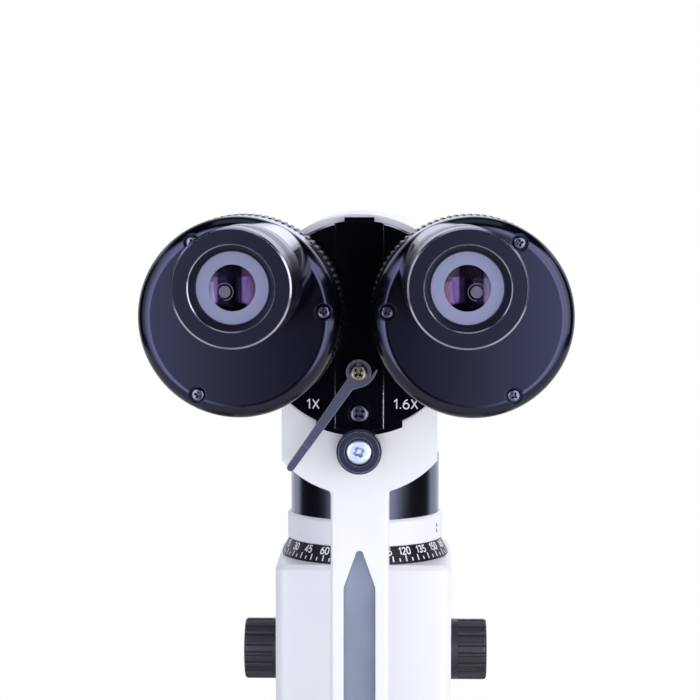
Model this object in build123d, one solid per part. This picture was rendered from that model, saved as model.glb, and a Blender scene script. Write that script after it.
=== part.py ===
"""Slit lamp: binocular head, lamp tower, swing arms and a joystick base on rails. Millimetres, +Z up.

The origin is the point on the rest plane under the common swing axis. The operator sits at -Y.
"""
import os
from math import acos, atan2, cos, degrees, pi, radians, sin, sqrt, tan

from build123d import *

# Driving sizes: places of the main parts
OPTIC_HEIGHT = 324.0
PLATE_Y = -156.6
TOWER_Y = -70.0
RUN_GAP = 0.05
SEAT_GAP = 0.02
OPEN_GAP = 0.3

# Binocular head
PLATE_RADIUS = 34.0
PLATE_THICK = 2.0
STRIP_HALF_WIDTH = 8.0
STRIP_PROUD = 1.0
STRIP_EDGE = 0.3
LEDGE_PROUD = 1.5
LEDGE_INSET = 0.6
LEDGE_HALF_WIDTH = 13.9
TAB_HALF_WIDTH = 4.8
BODY_RADIUS = 36.0
BODY_DEPTH = 47.0
BODY_WALL = 3.0
BODY_REAR_ROUND = 3.0
STEM_EDGE_ROUND = 1.2
YOKE_HALF_WIDTH = 25.2
YOKE_DROP = 55.3
YOKE_ROUND = 33.5
YOKE_DEPTH = 34.0
STEM_HALF_WIDTH = 9.4
STEM_DEPTH = 27.0
STEM_FILLET = 2.0
ARCH_HALF_WIDTH = 5.2
ARCH_TIP_RADIUS = 1.3
ARCH_TAPER_LENGTH = 11.0
ARCH_TOP_DROP = 73.4
ARCH_DEPTH = 3.5
OBJECTIVE_RADIUS = 24.5
OBJECTIVE_DEPTH = 6.6
OBJECTIVE_LIP = 1.5
OBJECTIVE_MOUTH = 2.0
OBJECTIVE_GROOVE = 0.6
OBJECTIVE_BORE = 20.0
LENS_THICK = 4.0

# Eyepiece halves, one each side of the plate
HINGE_X = 15.0
HINGE_MODULE = 1.0
HINGE_TEETH = 30
GEAR_THICK = 5.0
GEAR_BACKLASH = 0.12
HUB_RADIUS = 6.5
HUB_BORE = 5.0
TOE_ANGLE = 2.8
COVER_X = 36.0
COVER_RISE = 6.0
COVER_FRONT = 48.85
COVER_RADIUS = 30.7
COVER_DEPTH = 15.0
COVER_ROUND = 4.2
COVER_WALL = 4.0
GRIP_RADIUS = 30.9
GRIP_DEPTH = 12.0
GRIP_STANDOFF = 0.2
GRIP_RIBS = 90
GRIP_RIB_DEPTH = 0.55
HOUSING_RADIUS = 29.2
HOUSING_DEPTH = 40.0
HOUSING_WALL = 2.2
HOUSING_REAR_WALL = 5.0
COVER_SCREW_CIRCLE = 26.4
COVER_SCREW_ANGLES = (4.0, 120.7, -117.0)
COVER_SCREW_HEAD = 2.1
COVER_SCREW_POCKET = 2.6
PRISM_SIZE = 7.0
EYE_INWARD = 6.43
EYE_RISE = 12.6
EYE_LENGTH = 64.9
TUBE_RADIUS = 16.4
TUBE_LENGTH = 33.0
TUBE_BORE = 12.5
RIM_RADIUS = 16.9
EYECUP_RECESS_RADIUS = 12.0
EYECUP_RECESS_DEPTH = 3.0
EYE_LENS_RADIUS = 6.5
LENS_SEAT_RADIUS = 10.2
LENS_SEAT_DEPTH = 1.0

# Magnification changer
LEVER_DROP = 14.0
LEVER_ANGLE = 35.2
LEVER_LENGTH = 39.0
LEVER_ROOT_WIDTH = 3.5
LEVER_TIP_WIDTH = 2.5
LEVER_THICK = 2.0
LEVER_STANDOFF = 7.3
LEVER_HUB_RADIUS = 4.0
LEVER_STEP_AT = 29.2
LEVER_STEP = 1.6
LEVER_SCREW_RADIUS = 2.9
LEVER_EAR = ((0, 0), (-1.6, -5.6), (-0.3, -5.1), (1.6, -4.6), (3.2, -3.7), (4.5, -2.3), (5.4, -0.9),
             (6.0, 0.8), (5.4, 0.6), (4.2, -1.2))
SPINDLE_RADIUS = 2.0
SPINDLE_BOSS_RADIUS = 3.2
BEVEL_MODULE = 0.7
BEVEL_BACKLASH = 0.12
BEVEL_FACE_SHARE = 0.33
LEVER_GEAR_TEETH = 24
CARRIER_GEAR_TEETH = 19
CARRIER_Y = 24.0
CARRIER_BARREL_RADIUS = 7.0
CARRIER_BARREL_LENGTH = 13.0
CARRIER_LENS_RADIUS = 5.6
CARRIER_LENS_THICK = 1.6
CARRIER_SHAFT_RADIUS = 2.0

# Screws and thumb knob on the front
PLATE_SCREW_DROP = 28.3
PLATE_SCREW_HEAD = 2.9
PLATE_SCREW_POCKET = 3.5
THUMB_DROP = 40.2
THUMB_RADIUS = 7.3
THUMB_LENGTH = 4.7
THUMB_NECK_RADIUS = 4.2
THUMB_SCREW_HEAD = 4.4
THUMB_SCREW_THICK = 1.8
THUMB_SCREW_REACH = 11.0
THUMB_HOLE_DEPTH = 12.0
SCREW_SHANK = 1.5
HEAD_THICK = 1.4

# Lamp tower
DRUM_RADIUS = 26.4
DRUM_TOP_DROP = 50.0
DRUM_TOP_CHAMFER = 1.5
DRUM_SPIGOT_INSET = 3.0
DRUM_SPIGOT_DEPTH = 4.0
COLLAR_RADIUS = 27.6
COLLAR_TOP_DROP = 72.0
COLLAR_HEIGHT = 9.3
COLLAR_BEVEL = 0.9
COLLAR_LOW_BEVEL = 0.3
CONE_TOP_RADIUS = 27.1
CONE_BASE_RADIUS = 29.6
CONE_HEIGHT = 5.7
CONE_EDGE = 0.8
CONE_BORE_GAP = 3.0
BLOCK_WIDTH = 61.2
BLOCK_HEIGHT = 65.0
BLOCK_CORNER = 4.0
BLOCK_CHAMFER = 1.6
BLOCK_WALL = 4.0
BLOCK_TOP_WALL = 6.0
LAMP_HOUSE_WIDTH = 56.0
LAMP_WALL = 2.5
LAMP_CORNER = 8.0
LAMP_CHAMFER = 2.0
LAMP_FLOOR = 4.0
VENT_COUNT = 6
VENT_PITCH = 5.5
VENT_START = 14.0
VENT_HALF_WIDTH = 17.0
VENT_HEIGHT = 2.2
TOWER_SPIGOT_RADIUS = 14.0
NECK_RADIUS = 10.5
HEAD_WIDTH = 19.0
HEAD_DEPTH = 21.0
HEAD_RISE = 12.0
LIGHT_HALF = 6.5
MIRROR_HALF = 6.4
MIRROR_LEG = 11.5
WIDTH_KNOB_RADIUS = 11.0
WIDTH_KNOB_LENGTH = 13.0
WIDTH_SHAFT_RADIUS = 3.0
WIDTH_SHAFT_OFFSET = 14.0
WIDTH_SHAFT_RISE = 27.0
WIDTH_KNOB_FLUTES = 18
WIDTH_KNOB_ROUND = 1.2
WIDTH_KNOB_RIM = 2.5
WIDTH_CAM_RADIUS = 6.0
WIDTH_CAM_THROW = 1.5
WIDTH_CAM_LENGTH = 4.0
BULB_RADIUS = 7.0
BULB_STEM_RADIUS = BULB_RADIUS * 0.6
BULB_SEAT = 6.0
SOCKET_RADIUS = 10.0
SOCKET_HEIGHT = 10.0

# Arms and pivot
MICROSCOPE_ARM_BOTTOM = 78.0
MICROSCOPE_ARM_HEIGHT = 16.0
ARM_GAP = 0.5
SHOULDER_HEIGHT = 3.0
LAMP_ARM_HEIGHT = 16.0
ARM_HUB_RADIUS = 21.0
ARM_WIDTH = 26.0
PIVOT_RADIUS = 8.0
PIVOT_TOP_EXTRA = 22.0
TEST_ROD_RADIUS = 4.0
TEST_ROD_DEPTH = 18.0

# Column and base
COLUMN_RADIUS = 15.0
SLEEVE_RADIUS = 21.0
LIFT_SCREW_RADIUS = 5.0
SCREW_PIN_RADIUS = 3.0
SLEEVE_FLOOR = 3.5
BELT_WHEEL_RADIUS = 13.0
BELT_WHEEL_HEIGHT = 6.0
BASE_WIDTH = 150.0
BASE_FRONT = -222.0
BASE_REAR = 42.0
BASE_TOP = 60.0
BASE_BOTTOM = 12.0
BASE_WALL = 4.0
BASE_CORNER = 18.0
JOYSTICK_Y = -190.0
BALL_RADIUS = 12.0
JOYSTICK_TOP = 152.0
JOYSTICK_RADIUS = 5.0
RING_RADIUS = 16.0
RING_HEIGHT = 17.0
RING_FLUTES = 16
KNOB_RADIUS = 11.0
KNOB_LENGTH = 15.0
KNOB_SHAFT_RADIUS = 3.0
LOCK_Y = -120.0
DIMMER_Y = -150.0

# Rails and rest plane
RAIL_PLATE_X = 330.0
RAIL_PLATE_FRONT = -262.0
RAIL_PLATE_REAR = 88.0
RAIL_PLATE_THICK = 8.0
AXLE_Y = -62.0
RAIL_X = 150.0
RAIL_LENGTH = 124.0
RAIL_WIDTH = 8.0
RAIL_BODY = 5.0
WHEEL_MODULE = 1.0
WHEEL_TEETH = 24
WHEEL_WIDTH = 6.0
AXLE_RADIUS = 5.0
BUSH_WALL = 3.0
BUSH_LENGTH = 22.0
SLIDE_GAP = 0.2
COVER_RAIL_WIDTH = 24.0
BAR_WIDTH = 16.0
BAR_THICK = 6.0
CARRIER_HALF = 134.0
COVER_RAIL_LENGTH = 150.0
MOUNT_HOLE_RADIUS = 3.2
MOUNT_SPACING_X = 300.0
MOUNT_SPACING_Y = 320.0

# Worked out from the driving sizes
PLATE_BACK = PLATE_Y + STRIP_PROUD + PLATE_THICK
BODY_FRONT = PLATE_BACK
BODY_REAR = BODY_FRONT + BODY_DEPTH
DECK_Z = RAIL_PLATE_THICK
RACK_PITCH_Z = DECK_Z + RAIL_BODY + WHEEL_MODULE
AXLE_Z = RACK_PITCH_Z + WHEEL_MODULE * WHEEL_TEETH / 2
LAMP_ARM_BOTTOM = MICROSCOPE_ARM_BOTTOM + MICROSCOPE_ARM_HEIGHT + ARM_GAP
LAMP_ARM_TOP = LAMP_ARM_BOTTOM + LAMP_ARM_HEIGHT
COLLAR_TOP = OPTIC_HEIGHT - COLLAR_TOP_DROP
COLLAR_BOTTOM = COLLAR_TOP - COLLAR_HEIGHT
CONE_TOP = COLLAR_BOTTOM - OPEN_GAP
CONE_BOTTOM = CONE_TOP - CONE_HEIGHT
BLOCK_BOTTOM = CONE_BOTTOM - BLOCK_HEIGHT
LAMP_HOUSE_BOTTOM = LAMP_ARM_TOP
LAMP_HOUSE_HEIGHT = BLOCK_BOTTOM - LAMP_ARM_TOP
BLOCK_TOP = CONE_BOTTOM
DRUM_TOP = OPTIC_HEIGHT - DRUM_TOP_DROP
SLEEVE_TOP = MICROSCOPE_ARM_BOTTOM - SHOULDER_HEIGHT
BALL_Z = BASE_TOP - BALL_RADIUS
KNOB_Z = (BASE_TOP + BASE_BOTTOM) / 2
POST_BOTTOM = BASE_BOTTOM + SLEEVE_FLOOR + BELT_WHEEL_HEIGHT + 1.0
BAR_BOTTOM = DECK_Z + 3.0
BAR_FRONT = AXLE_Y + 14.0

os.makedirs("parts", exist_ok=True)


def save(name, shape):
    """Write one sub-part as its own STEP file."""
    export_step(shape, f"parts/{name}.step")


def group(solids):
    """Keep equal solids apart in one sub-part."""
    return Compound(children=list(solids))


def rod(radius, start, direction, length):
    """Round bar from start along direction."""
    flat = Plane(origin=start, z_dir=direction)
    return flat * Cylinder(radius, length, align=(Align.CENTER, Align.CENTER, Align.MIN))


def pipe(outer, inner, start, direction, length):
    """Round tube from start along direction."""
    return rod(outer, start, direction, length) - rod(inner, start, direction, length)


def block(x0, x1, y0, y1, z0, z1):
    """Box between two corners."""
    centre = ((x0 + x1) / 2, (y0 + y1) / 2, (z0 + z1) / 2)
    return Pos(*centre) * Box(x1 - x0, y1 - y0, z1 - z0)


def turned(points, centre, direction=(0, 0, 1)):
    """Solid of revolution from (radius, height) points round an axis."""
    flat = Plane(origin=centre, z_dir=direction)
    outline = make_face(Polyline(*[(r, 0, z) for r, z in points], close=True))
    return flat * revolve(outline, Axis.Z)


def tooth_points(teeth, module, backlash, addendum=1.0, dedendum=1.2, flank_steps=3):
    """Closed outline of an involute spur gear with one tooth centred on the X axis."""
    pitch = module * teeth / 2
    base = pitch * cos(radians(20))
    tip = pitch + addendum * module
    root = pitch - dedendum * module
    half_tooth = pi / (2 * teeth) - backlash / pitch
    at_pitch = tan(acos(base / pitch)) - acos(base / pitch)
    start = max(base, root)
    flank = []
    for step in range(flank_steps):
        radius = start + (tip - start) * step / (flank_steps - 1)
        roll = acos(min(1.0, base / radius))
        flank.append((radius, half_tooth + at_pitch - (tan(roll) - roll)))
    points = []
    for tooth in range(teeth):
        middle = 2 * pi * tooth / teeth
        points.append((root, middle - flank[0][1]))
        points += [(radius, middle - angle) for radius, angle in flank]
        points += [(radius, middle + angle) for radius, angle in reversed(flank)]
        points.append((root, middle + flank[0][1]))
    outline = []
    for radius, angle in points:
        spot = (radius * cos(angle), radius * sin(angle))
        if not outline or abs(spot[0] - outline[-1][0]) + abs(spot[1] - outline[-1][1]) > 1e-4:
            outline.append(spot)
    return outline


def spur_gear(teeth, module, backlash, thick, phase=0.0):
    """Spur gear standing on the XY plane, turned by phase degrees."""
    outline = tooth_points(teeth, module, backlash)
    return Rot(0, 0, phase) * extrude(make_face(Polyline(*outline, close=True)), thick)


def bevel_gear(teeth, mate_teeth, module, backlash, face_share, phase=0.0):
    """Bevel gear with its apex at the origin and its axis on -Z, for shafts at a right angle."""
    reach = module * mate_teeth / 2
    outline = tooth_points(teeth, module, backlash, addendum=0.6, dedendum=1.0, flank_steps=2)
    big = make_face(Polyline(*[(x, y, -reach) for x, y in outline], close=True))
    keep = 1 - face_share
    small = make_face(Polyline(*[(x * keep, y * keep, -reach * keep) for x, y in outline], close=True))
    return Rot(0, 0, phase) * loft([big, small], ruled=True)


def cross_head(radius, thick, at, direction, shank, shank_length):
    """Cross-recess screw: its head stands on the point at, towards direction, and the shank goes in."""
    head = turned([(0, 0), (radius, 0), (radius, thick * 0.6), (radius * 0.82, thick), (0, thick)],
                  at, direction)
    screw = head + rod(shank, at, tuple(-d for d in direction), shank_length)
    slot = Box(radius * 1.1, radius * 0.26, thick) + Box(radius * 0.26, radius * 1.1, thick)
    return screw - Plane(origin=at, z_dir=direction) * Pos(0, 0, thick) * slot


# Binocular head: white casting, black plate, objective
def front_of(x, drop, y=PLATE_Y):
    """Point on the front of the head, drop below the optical axis."""
    return (x, y, OPTIC_HEIGHT - drop)


def head_rod(radius, x, drop, front, length):
    """Round bar that runs from front to the rear, drop below the optical axis."""
    return rod(radius, front_of(x, drop, front), (0, 1, 0), length)


def head_prism(sketch, front, depth):
    """Extrude a sketch drawn on the front view, X right and Y up, from front to the rear."""
    flat = Plane(origin=(0, front, OPTIC_HEIGHT), x_dir=(1, 0, 0), z_dir=(0, -1, 0))
    return flat * extrude(sketch, -depth)


def yoke_sketch():
    """Lower body seen from the front, with its round bottom edge."""
    round_centre = YOKE_ROUND - YOKE_DROP
    disc = Pos(0, round_centre) * Circle(YOKE_ROUND)
    column = Pos(0, -YOKE_DROP / 2) * Rectangle(2 * YOKE_HALF_WIDTH, YOKE_DROP)
    return disc & column


def stem_sketch(foot_drop):
    """Yoke and stem seen from the front, with rounded inner corners where they meet."""
    stem = Pos(0, -(foot_drop + YOKE_DROP) / 2) * Rectangle(2 * STEM_HALF_WIDTH, foot_drop - YOKE_DROP + 12.0)
    outline = yoke_sketch() + stem
    inner = [v for v in outline.vertices() if abs(abs(v.X) - STEM_HALF_WIDTH) < 0.01 and v.Y > -YOKE_DROP - 1]
    return fillet(inner, STEM_FILLET)


def arch_sketch(foot_drop):
    """Tall recess in the stem: round tip, widening sides, then straight ones to a square foot."""
    tip = -(ARCH_TOP_DROP + ARCH_TIP_RADIUS)
    wide = tip - ARCH_TAPER_LENGTH
    right = [(ARCH_TIP_RADIUS, tip), (ARCH_HALF_WIDTH, wide), (ARCH_HALF_WIDTH, -foot_drop)]
    left = [(-x, y) for x, y in right]
    sides = make_face(Polyline(*left, *right[::-1], close=True))
    return sides + Pos(0, tip) * Circle(ARCH_TIP_RADIUS)


def make_microscope_body():
    foot = MICROSCOPE_ARM_BOTTOM + MICROSCOPE_ARM_HEIGHT
    shell = head_prism(Circle(BODY_RADIUS), BODY_FRONT, BODY_DEPTH)
    shell = fillet(shell.edges().sort_by(Axis.Y)[-1], BODY_REAR_ROUND)
    yoke = head_prism(yoke_sketch(), BODY_FRONT, YOKE_DEPTH)
    stem = head_prism(stem_sketch(OPTIC_HEIGHT - foot - 6.0), BODY_FRONT, STEM_DEPTH)
    stem = fillet(stem.faces().sort_by(Axis.Y)[0].edges(), STEM_EDGE_ROUND)
    casting = shell + yoke + stem
    casting -= head_prism(arch_sketch(OPTIC_HEIGHT - foot - 12.0), BODY_FRONT, ARCH_DEPTH)
    cavity_front = BODY_FRONT + BODY_WALL
    cavity_rear = BODY_REAR - BODY_WALL
    casting -= head_prism(Circle(BODY_RADIUS - BODY_WALL), cavity_front, cavity_rear - cavity_front)
    casting -= head_rod(OBJECTIVE_BORE, 0, 0, cavity_rear - 1, BODY_WALL + 2)
    for side in (-1, 1):
        casting -= head_rod(HUB_RADIUS + RUN_GAP, side * HINGE_X, 0, BODY_FRONT - 1, BODY_WALL + 2)
    casting -= head_rod(SPINDLE_RADIUS + RUN_GAP, 0, LEVER_DROP, BODY_FRONT - 1, BODY_WALL + 2)
    casting -= rod(CARRIER_SHAFT_RADIUS + RUN_GAP,
                   (-BODY_RADIUS, PLATE_Y + CARRIER_Y, OPTIC_HEIGHT - LEVER_DROP), (1, 0, 0), 2 * BODY_RADIUS)
    casting -= head_rod(SCREW_SHANK + SEAT_GAP, 0, PLATE_SCREW_DROP, BODY_FRONT - 1, BODY_WALL + 1)
    casting -= head_rod(SCREW_SHANK + RUN_GAP, 0, THUMB_DROP, BODY_FRONT - 1, THUMB_HOLE_DEPTH + 1)
    return casting


def make_front_plate():
    """Black disc with a raised strip, a lower ledge and a top tab."""
    base_front = PLATE_Y + STRIP_PROUD
    disc = head_prism(Circle(PLATE_RADIUS), base_front, PLATE_THICK)
    disc = chamfer(disc.edges().filter_by(GeomType.CIRCLE).sort_by(Axis.Y)[0], 0.5)
    strip = Circle(PLATE_RADIUS) & Rectangle(2 * STRIP_HALF_WIDTH, 3 * PLATE_RADIUS)
    ledge_band = Pos(0, -PLATE_RADIUS) * Rectangle(2 * LEDGE_HALF_WIDTH, PLATE_RADIUS / 2)
    ledge = (Circle(PLATE_RADIUS + LEDGE_PROUD) - Circle(PLATE_RADIUS - LEDGE_INSET)) & ledge_band
    tab = Pos(0, PLATE_RADIUS) * Rectangle(2 * TAB_HALF_WIDTH, 2.0)
    raised = head_prism(strip, PLATE_Y, STRIP_PROUD + PLATE_THICK)
    raised = chamfer(raised.faces().sort_by(Axis.Y)[0].edges().filter_by(GeomType.LINE), STRIP_EDGE)
    plate = disc + raised
    plate += head_prism(ledge, PLATE_Y + 0.4, STRIP_PROUD + PLATE_THICK - 0.4)
    plate += head_prism(tab, base_front, PLATE_THICK)
    for side in (-1, 1):
        plate -= head_rod(HUB_RADIUS + OPEN_GAP, side * HINGE_X, 0, PLATE_Y - 1, 6)
    plate -= head_rod(SPINDLE_RADIUS + OPEN_GAP, 0, LEVER_DROP, PLATE_Y - 1, 6)
    plate -= head_rod(PLATE_SCREW_POCKET, 0, PLATE_SCREW_DROP, PLATE_Y - 1, 1 + HEAD_THICK)
    plate -= head_rod(SCREW_SHANK + SEAT_GAP, 0, PLATE_SCREW_DROP, PLATE_Y - 1, 6)
    return plate


def make_objective_ring():
    rear = BODY_REAR + OBJECTIVE_DEPTH
    inner = OBJECTIVE_BORE - OBJECTIVE_LIP
    ring = pipe(OBJECTIVE_RADIUS, inner, front_of(0, 0, BODY_REAR), (0, 1, 0), OBJECTIVE_DEPTH)
    spigot = pipe(OBJECTIVE_BORE - SEAT_GAP, inner, front_of(0, 0, BODY_REAR - BODY_WALL), (0, 1, 0),
                  BODY_WALL + 0.5)
    flare = [(0, 0), (inner, 0), (OBJECTIVE_BORE + OBJECTIVE_LIP, OBJECTIVE_MOUTH), (0, OBJECTIVE_MOUTH)]
    mouth = turned(flare, front_of(0, 0, rear - OBJECTIVE_MOUTH), (0, 1, 0))
    groove_at = front_of(0, 0, BODY_REAR + 1.5)
    groove = pipe(OBJECTIVE_RADIUS + 1, OBJECTIVE_RADIUS - OBJECTIVE_GROOVE, groove_at, (0, 1, 0), 1.0)
    return ring + spigot - mouth - groove


def lens(radius, thick, crown, at, direction):
    """Lens with one domed face towards direction."""
    ball = (radius * radius + crown * crown) / (2 * crown)
    middle = thick - ball + sqrt(ball * ball - radius * radius / 4)
    edge = Polyline((0, 0, thick), (0, 0, 0), (radius, 0, 0), (radius, 0, thick - crown))
    dome = ThreePointArc((radius, 0, thick - crown), (radius / 2, 0, middle), (0, 0, thick))
    return Plane(origin=at, z_dir=direction) * revolve(make_face([edge, dome]), Axis.Z)


# Eyepiece halves
def half_plane(side):
    """Frame of one eyepiece half: origin at the cover's front, Z towards the operator, Y up."""
    toe = radians(TOE_ANGLE)
    origin = (side * COVER_X, PLATE_Y - COVER_FRONT, OPTIC_HEIGHT + COVER_RISE)
    return Plane(origin=origin, x_dir=(cos(toe), side * sin(toe), 0), z_dir=(side * sin(toe), -cos(toe), 0))


def screw_spots(side):
    """Places of the cover screws in the half's own frame."""
    for angle in COVER_SCREW_ANGLES:
        turn = radians(angle if side < 0 else 180 - angle)
        yield COVER_SCREW_CIRCLE * cos(turn), COVER_SCREW_CIRCLE * sin(turn)


def hinge_spot(side):
    """Hinge axis in the half's own frame, at the rear wall."""
    return -side * (COVER_X - HINGE_X), -COVER_RISE


def cover_blank():
    """Domed disc before its hollow and holes."""
    disc = rod(COVER_RADIUS, (0, 0, -COVER_DEPTH), (0, 0, 1), COVER_DEPTH)
    return fillet(disc.edges().filter_by(GeomType.CIRCLE).sort_by(Axis.Z)[-1], COVER_ROUND)


def make_housing_cover(side):
    cover = cover_blank()
    cover -= rod(HOUSING_RADIUS - HOUSING_WALL, (0, 0, -COVER_DEPTH), (0, 0, 1), COVER_DEPTH - COVER_WALL)
    cover -= rod(TUBE_BORE + 1.5 + SEAT_GAP, (-side * EYE_INWARD, EYE_RISE, -COVER_DEPTH), (0, 0, 1), 20)
    inner = HOUSING_RADIUS - HOUSING_WALL
    for x, y in screw_spots(side):
        post = rod(3.2, (x, y, -COVER_DEPTH), (0, 0, 1), COVER_DEPTH - 1.0)
        cover += post & rod(inner + 0.5, (0, 0, -COVER_DEPTH), (0, 0, 1), COVER_DEPTH)
        cover -= rod(COVER_SCREW_POCKET, (x, y, -HEAD_THICK - 0.3), (0, 0, 1), 5)
        cover -= rod(SCREW_SHANK + SEAT_GAP, (x, y, -COVER_DEPTH - 1), (0, 0, 1), 20)
    return cover


def make_prism_housing(side):
    rear = -HOUSING_DEPTH
    inner = HOUSING_RADIUS - HOUSING_WALL
    body = rod(HOUSING_RADIUS, (0, 0, rear), (0, 0, 1), HOUSING_DEPTH - COVER_DEPTH)
    body = chamfer(body.edges().filter_by(GeomType.CIRCLE).sort_by(Axis.Z)[0], 2.0)
    body -= rod(inner, (0, 0, rear + HOUSING_REAR_WALL), (0, 0, 1), HOUSING_DEPTH)
    for x, y in screw_spots(side):
        post = rod(3.2, (x, y, -COVER_DEPTH - 9), (0, 0, 1), 9)
        body += post & rod(inner + 0.5, (0, 0, rear), (0, 0, 1), HOUSING_DEPTH)
        body -= rod(SCREW_SHANK + SEAT_GAP, (x, y, -COVER_DEPTH - 7), (0, 0, 1), 10)
    return body


def hub_bar(side, radius, start, length):
    """Round bar on the hinge axis of one half, start measured from the plate's front."""
    return rod(radius, front_of(side * HINGE_X, 0, PLATE_Y + start), (0, 1, 0), length)


def make_hinge_hub(side):
    """Hollow hinge shaft with its gear behind the front wall."""
    rear_face = STRIP_PROUD + PLATE_THICK + BODY_WALL + 0.5
    nose = HOUSING_DEPTH - COVER_FRONT - 3.0
    phase = 0.0 if side < 0 else 180.0 / HINGE_TEETH
    gear_plane = Plane(origin=front_of(side * HINGE_X, 0, PLATE_Y + rear_face + GEAR_THICK),
                       x_dir=(1, 0, 0), z_dir=(0, -1, 0))
    gear = gear_plane * spur_gear(HINGE_TEETH, HINGE_MODULE, GEAR_BACKLASH, GEAR_THICK, phase)
    shaft = hub_bar(side, HUB_RADIUS, nose, rear_face - nose + 0.5)
    hub = gear + shaft - hub_bar(side, HUB_BORE, nose - 1, 30)
    for index in range(6):
        angle = radians(60 * index + 30)
        at = front_of(side * HINGE_X + 10.5 * cos(angle), 10.5 * sin(angle), PLATE_Y + rear_face - 1)
        hub -= rod(2.0, at, (0, 1, 0), GEAR_THICK + 2)
    return hub


def make_grip_ring():
    """Ring with coarse rounded serrations."""
    rear = (0, 0, -COVER_DEPTH - GRIP_STANDOFF - GRIP_DEPTH)
    ring = pipe(GRIP_RADIUS, HOUSING_RADIUS + SEAT_GAP, rear, (0, 0, 1), GRIP_DEPTH)
    for index in range(GRIP_RIBS):
        angle = 2 * pi * index / GRIP_RIBS
        reach = GRIP_RADIUS + GRIP_RIB_DEPTH * 0.4
        spot = (reach * cos(angle), reach * sin(angle), -HOUSING_DEPTH)
        ring -= rod(GRIP_RIB_DEPTH, spot, (0, 0, 1), HOUSING_DEPTH)
    return ring


def make_prism(side):
    """Rhomboid prism that carries the light from the hinge axis to the eyepiece axis."""
    hub_x, hub_y = hinge_spot(side)
    eye_x, eye_y = -side * EYE_INWARD, EYE_RISE
    reach = sqrt((eye_x - hub_x) ** 2 + (eye_y - hub_y) ** 2)
    half = PRISM_SIZE / 2
    corners = ((-half, 0), (reach - half, 0), (reach + half, PRISM_SIZE), (half, PRISM_SIZE))
    outline = Polyline(*corners, close=True)
    turn = degrees(atan2(eye_y - hub_y, eye_x - hub_x))
    solid = Rot(90, 0, 0) * extrude(make_face(outline), half, both=True)
    return Pos(hub_x, hub_y, HOUSING_REAR_WALL - HOUSING_DEPTH) * Rot(0, 0, turn) * solid


def eye_bar(side, radius, start, length):
    """Round bar on the eyepiece axis, start measured from the cover's front."""
    return rod(radius, (-side * EYE_INWARD, EYE_RISE, start), (0, 0, 1), length)


def make_eyepiece_tube(side):
    tube = eye_bar(side, TUBE_RADIUS, -COVER_ROUND, TUBE_LENGTH + COVER_ROUND)
    tube -= cover_blank()
    tube -= pipe(2 * COVER_RADIUS, COVER_RADIUS, (0, 0, -COVER_DEPTH), (0, 0, 1), COVER_DEPTH)
    tube += eye_bar(side, TUBE_BORE + 1.5, -COVER_WALL, COVER_WALL + 1)
    tube += eye_bar(side, TUBE_BORE + 1.5, TUBE_LENGTH - 1, 11)
    return tube - eye_bar(side, TUBE_BORE, -COVER_DEPTH, EYE_LENGTH + COVER_DEPTH)


def make_eyepiece(side):
    """Dioptre ring: grooved grip, thin front bevel, round recess and the seat of the eye lens."""
    start = TUBE_LENGTH + OPEN_GAP
    length = EYE_LENGTH - start
    step = EYE_LENGTH - EYECUP_RECESS_DEPTH
    centre = (-side * EYE_INWARD, EYE_RISE, 0)
    seat = step - LENS_SEAT_DEPTH
    outline = [(TUBE_BORE + 1.5 + RUN_GAP, start), (RIM_RADIUS - 0.5, start), (RIM_RADIUS, start + 0.5),
               (RIM_RADIUS, EYE_LENGTH - 0.5), (RIM_RADIUS - 0.5, EYE_LENGTH),
               (EYECUP_RECESS_RADIUS + 0.3, EYE_LENGTH), (EYECUP_RECESS_RADIUS, EYE_LENGTH - 0.3),
               (LENS_SEAT_RADIUS + 0.4, step), (LENS_SEAT_RADIUS, step), (LENS_SEAT_RADIUS, seat),
               (EYE_LENS_RADIUS + 1.5, seat),
               (EYE_LENS_RADIUS + 1.5, seat - LENS_THICK), (TUBE_BORE + 1.5 + RUN_GAP, seat - LENS_THICK)]
    ring = turned(outline, centre)
    for index in range(4):
        at = start + length * 0.32 + index * 3.0
        ring -= eye_bar(side, RIM_RADIUS + 1, at, 1.0) - eye_bar(side, RIM_RADIUS - 0.5, at, 1.0)
    return ring


def make_retaining_ring(side):
    """Flat grey ring that holds the eye lens."""
    seat = EYE_LENGTH - EYECUP_RECESS_DEPTH - LENS_SEAT_DEPTH
    outer = eye_bar(side, LENS_SEAT_RADIUS - SEAT_GAP, seat, LENS_SEAT_DEPTH * 0.7)
    return outer - eye_bar(side, EYE_LENS_RADIUS, seat - 1, 3)


def make_eye_lens(side):
    seat = EYE_LENGTH - EYECUP_RECESS_DEPTH - LENS_SEAT_DEPTH
    at = (-side * EYE_INWARD, EYE_RISE, seat - LENS_THICK)
    return lens(EYE_LENS_RADIUS + 1.5 - SEAT_GAP, LENS_THICK - 0.1, 0.9, at, (0, 0, 1))


def make_cover_screws(side):
    screws = []
    for x, y in screw_spots(side):
        screws.append(cross_head(COVER_SCREW_HEAD, HEAD_THICK, (x, y, -HEAD_THICK - 0.3), (0, 0, 1),
                                 SCREW_SHANK, COVER_DEPTH + 4))
    return group(screws)


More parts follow.
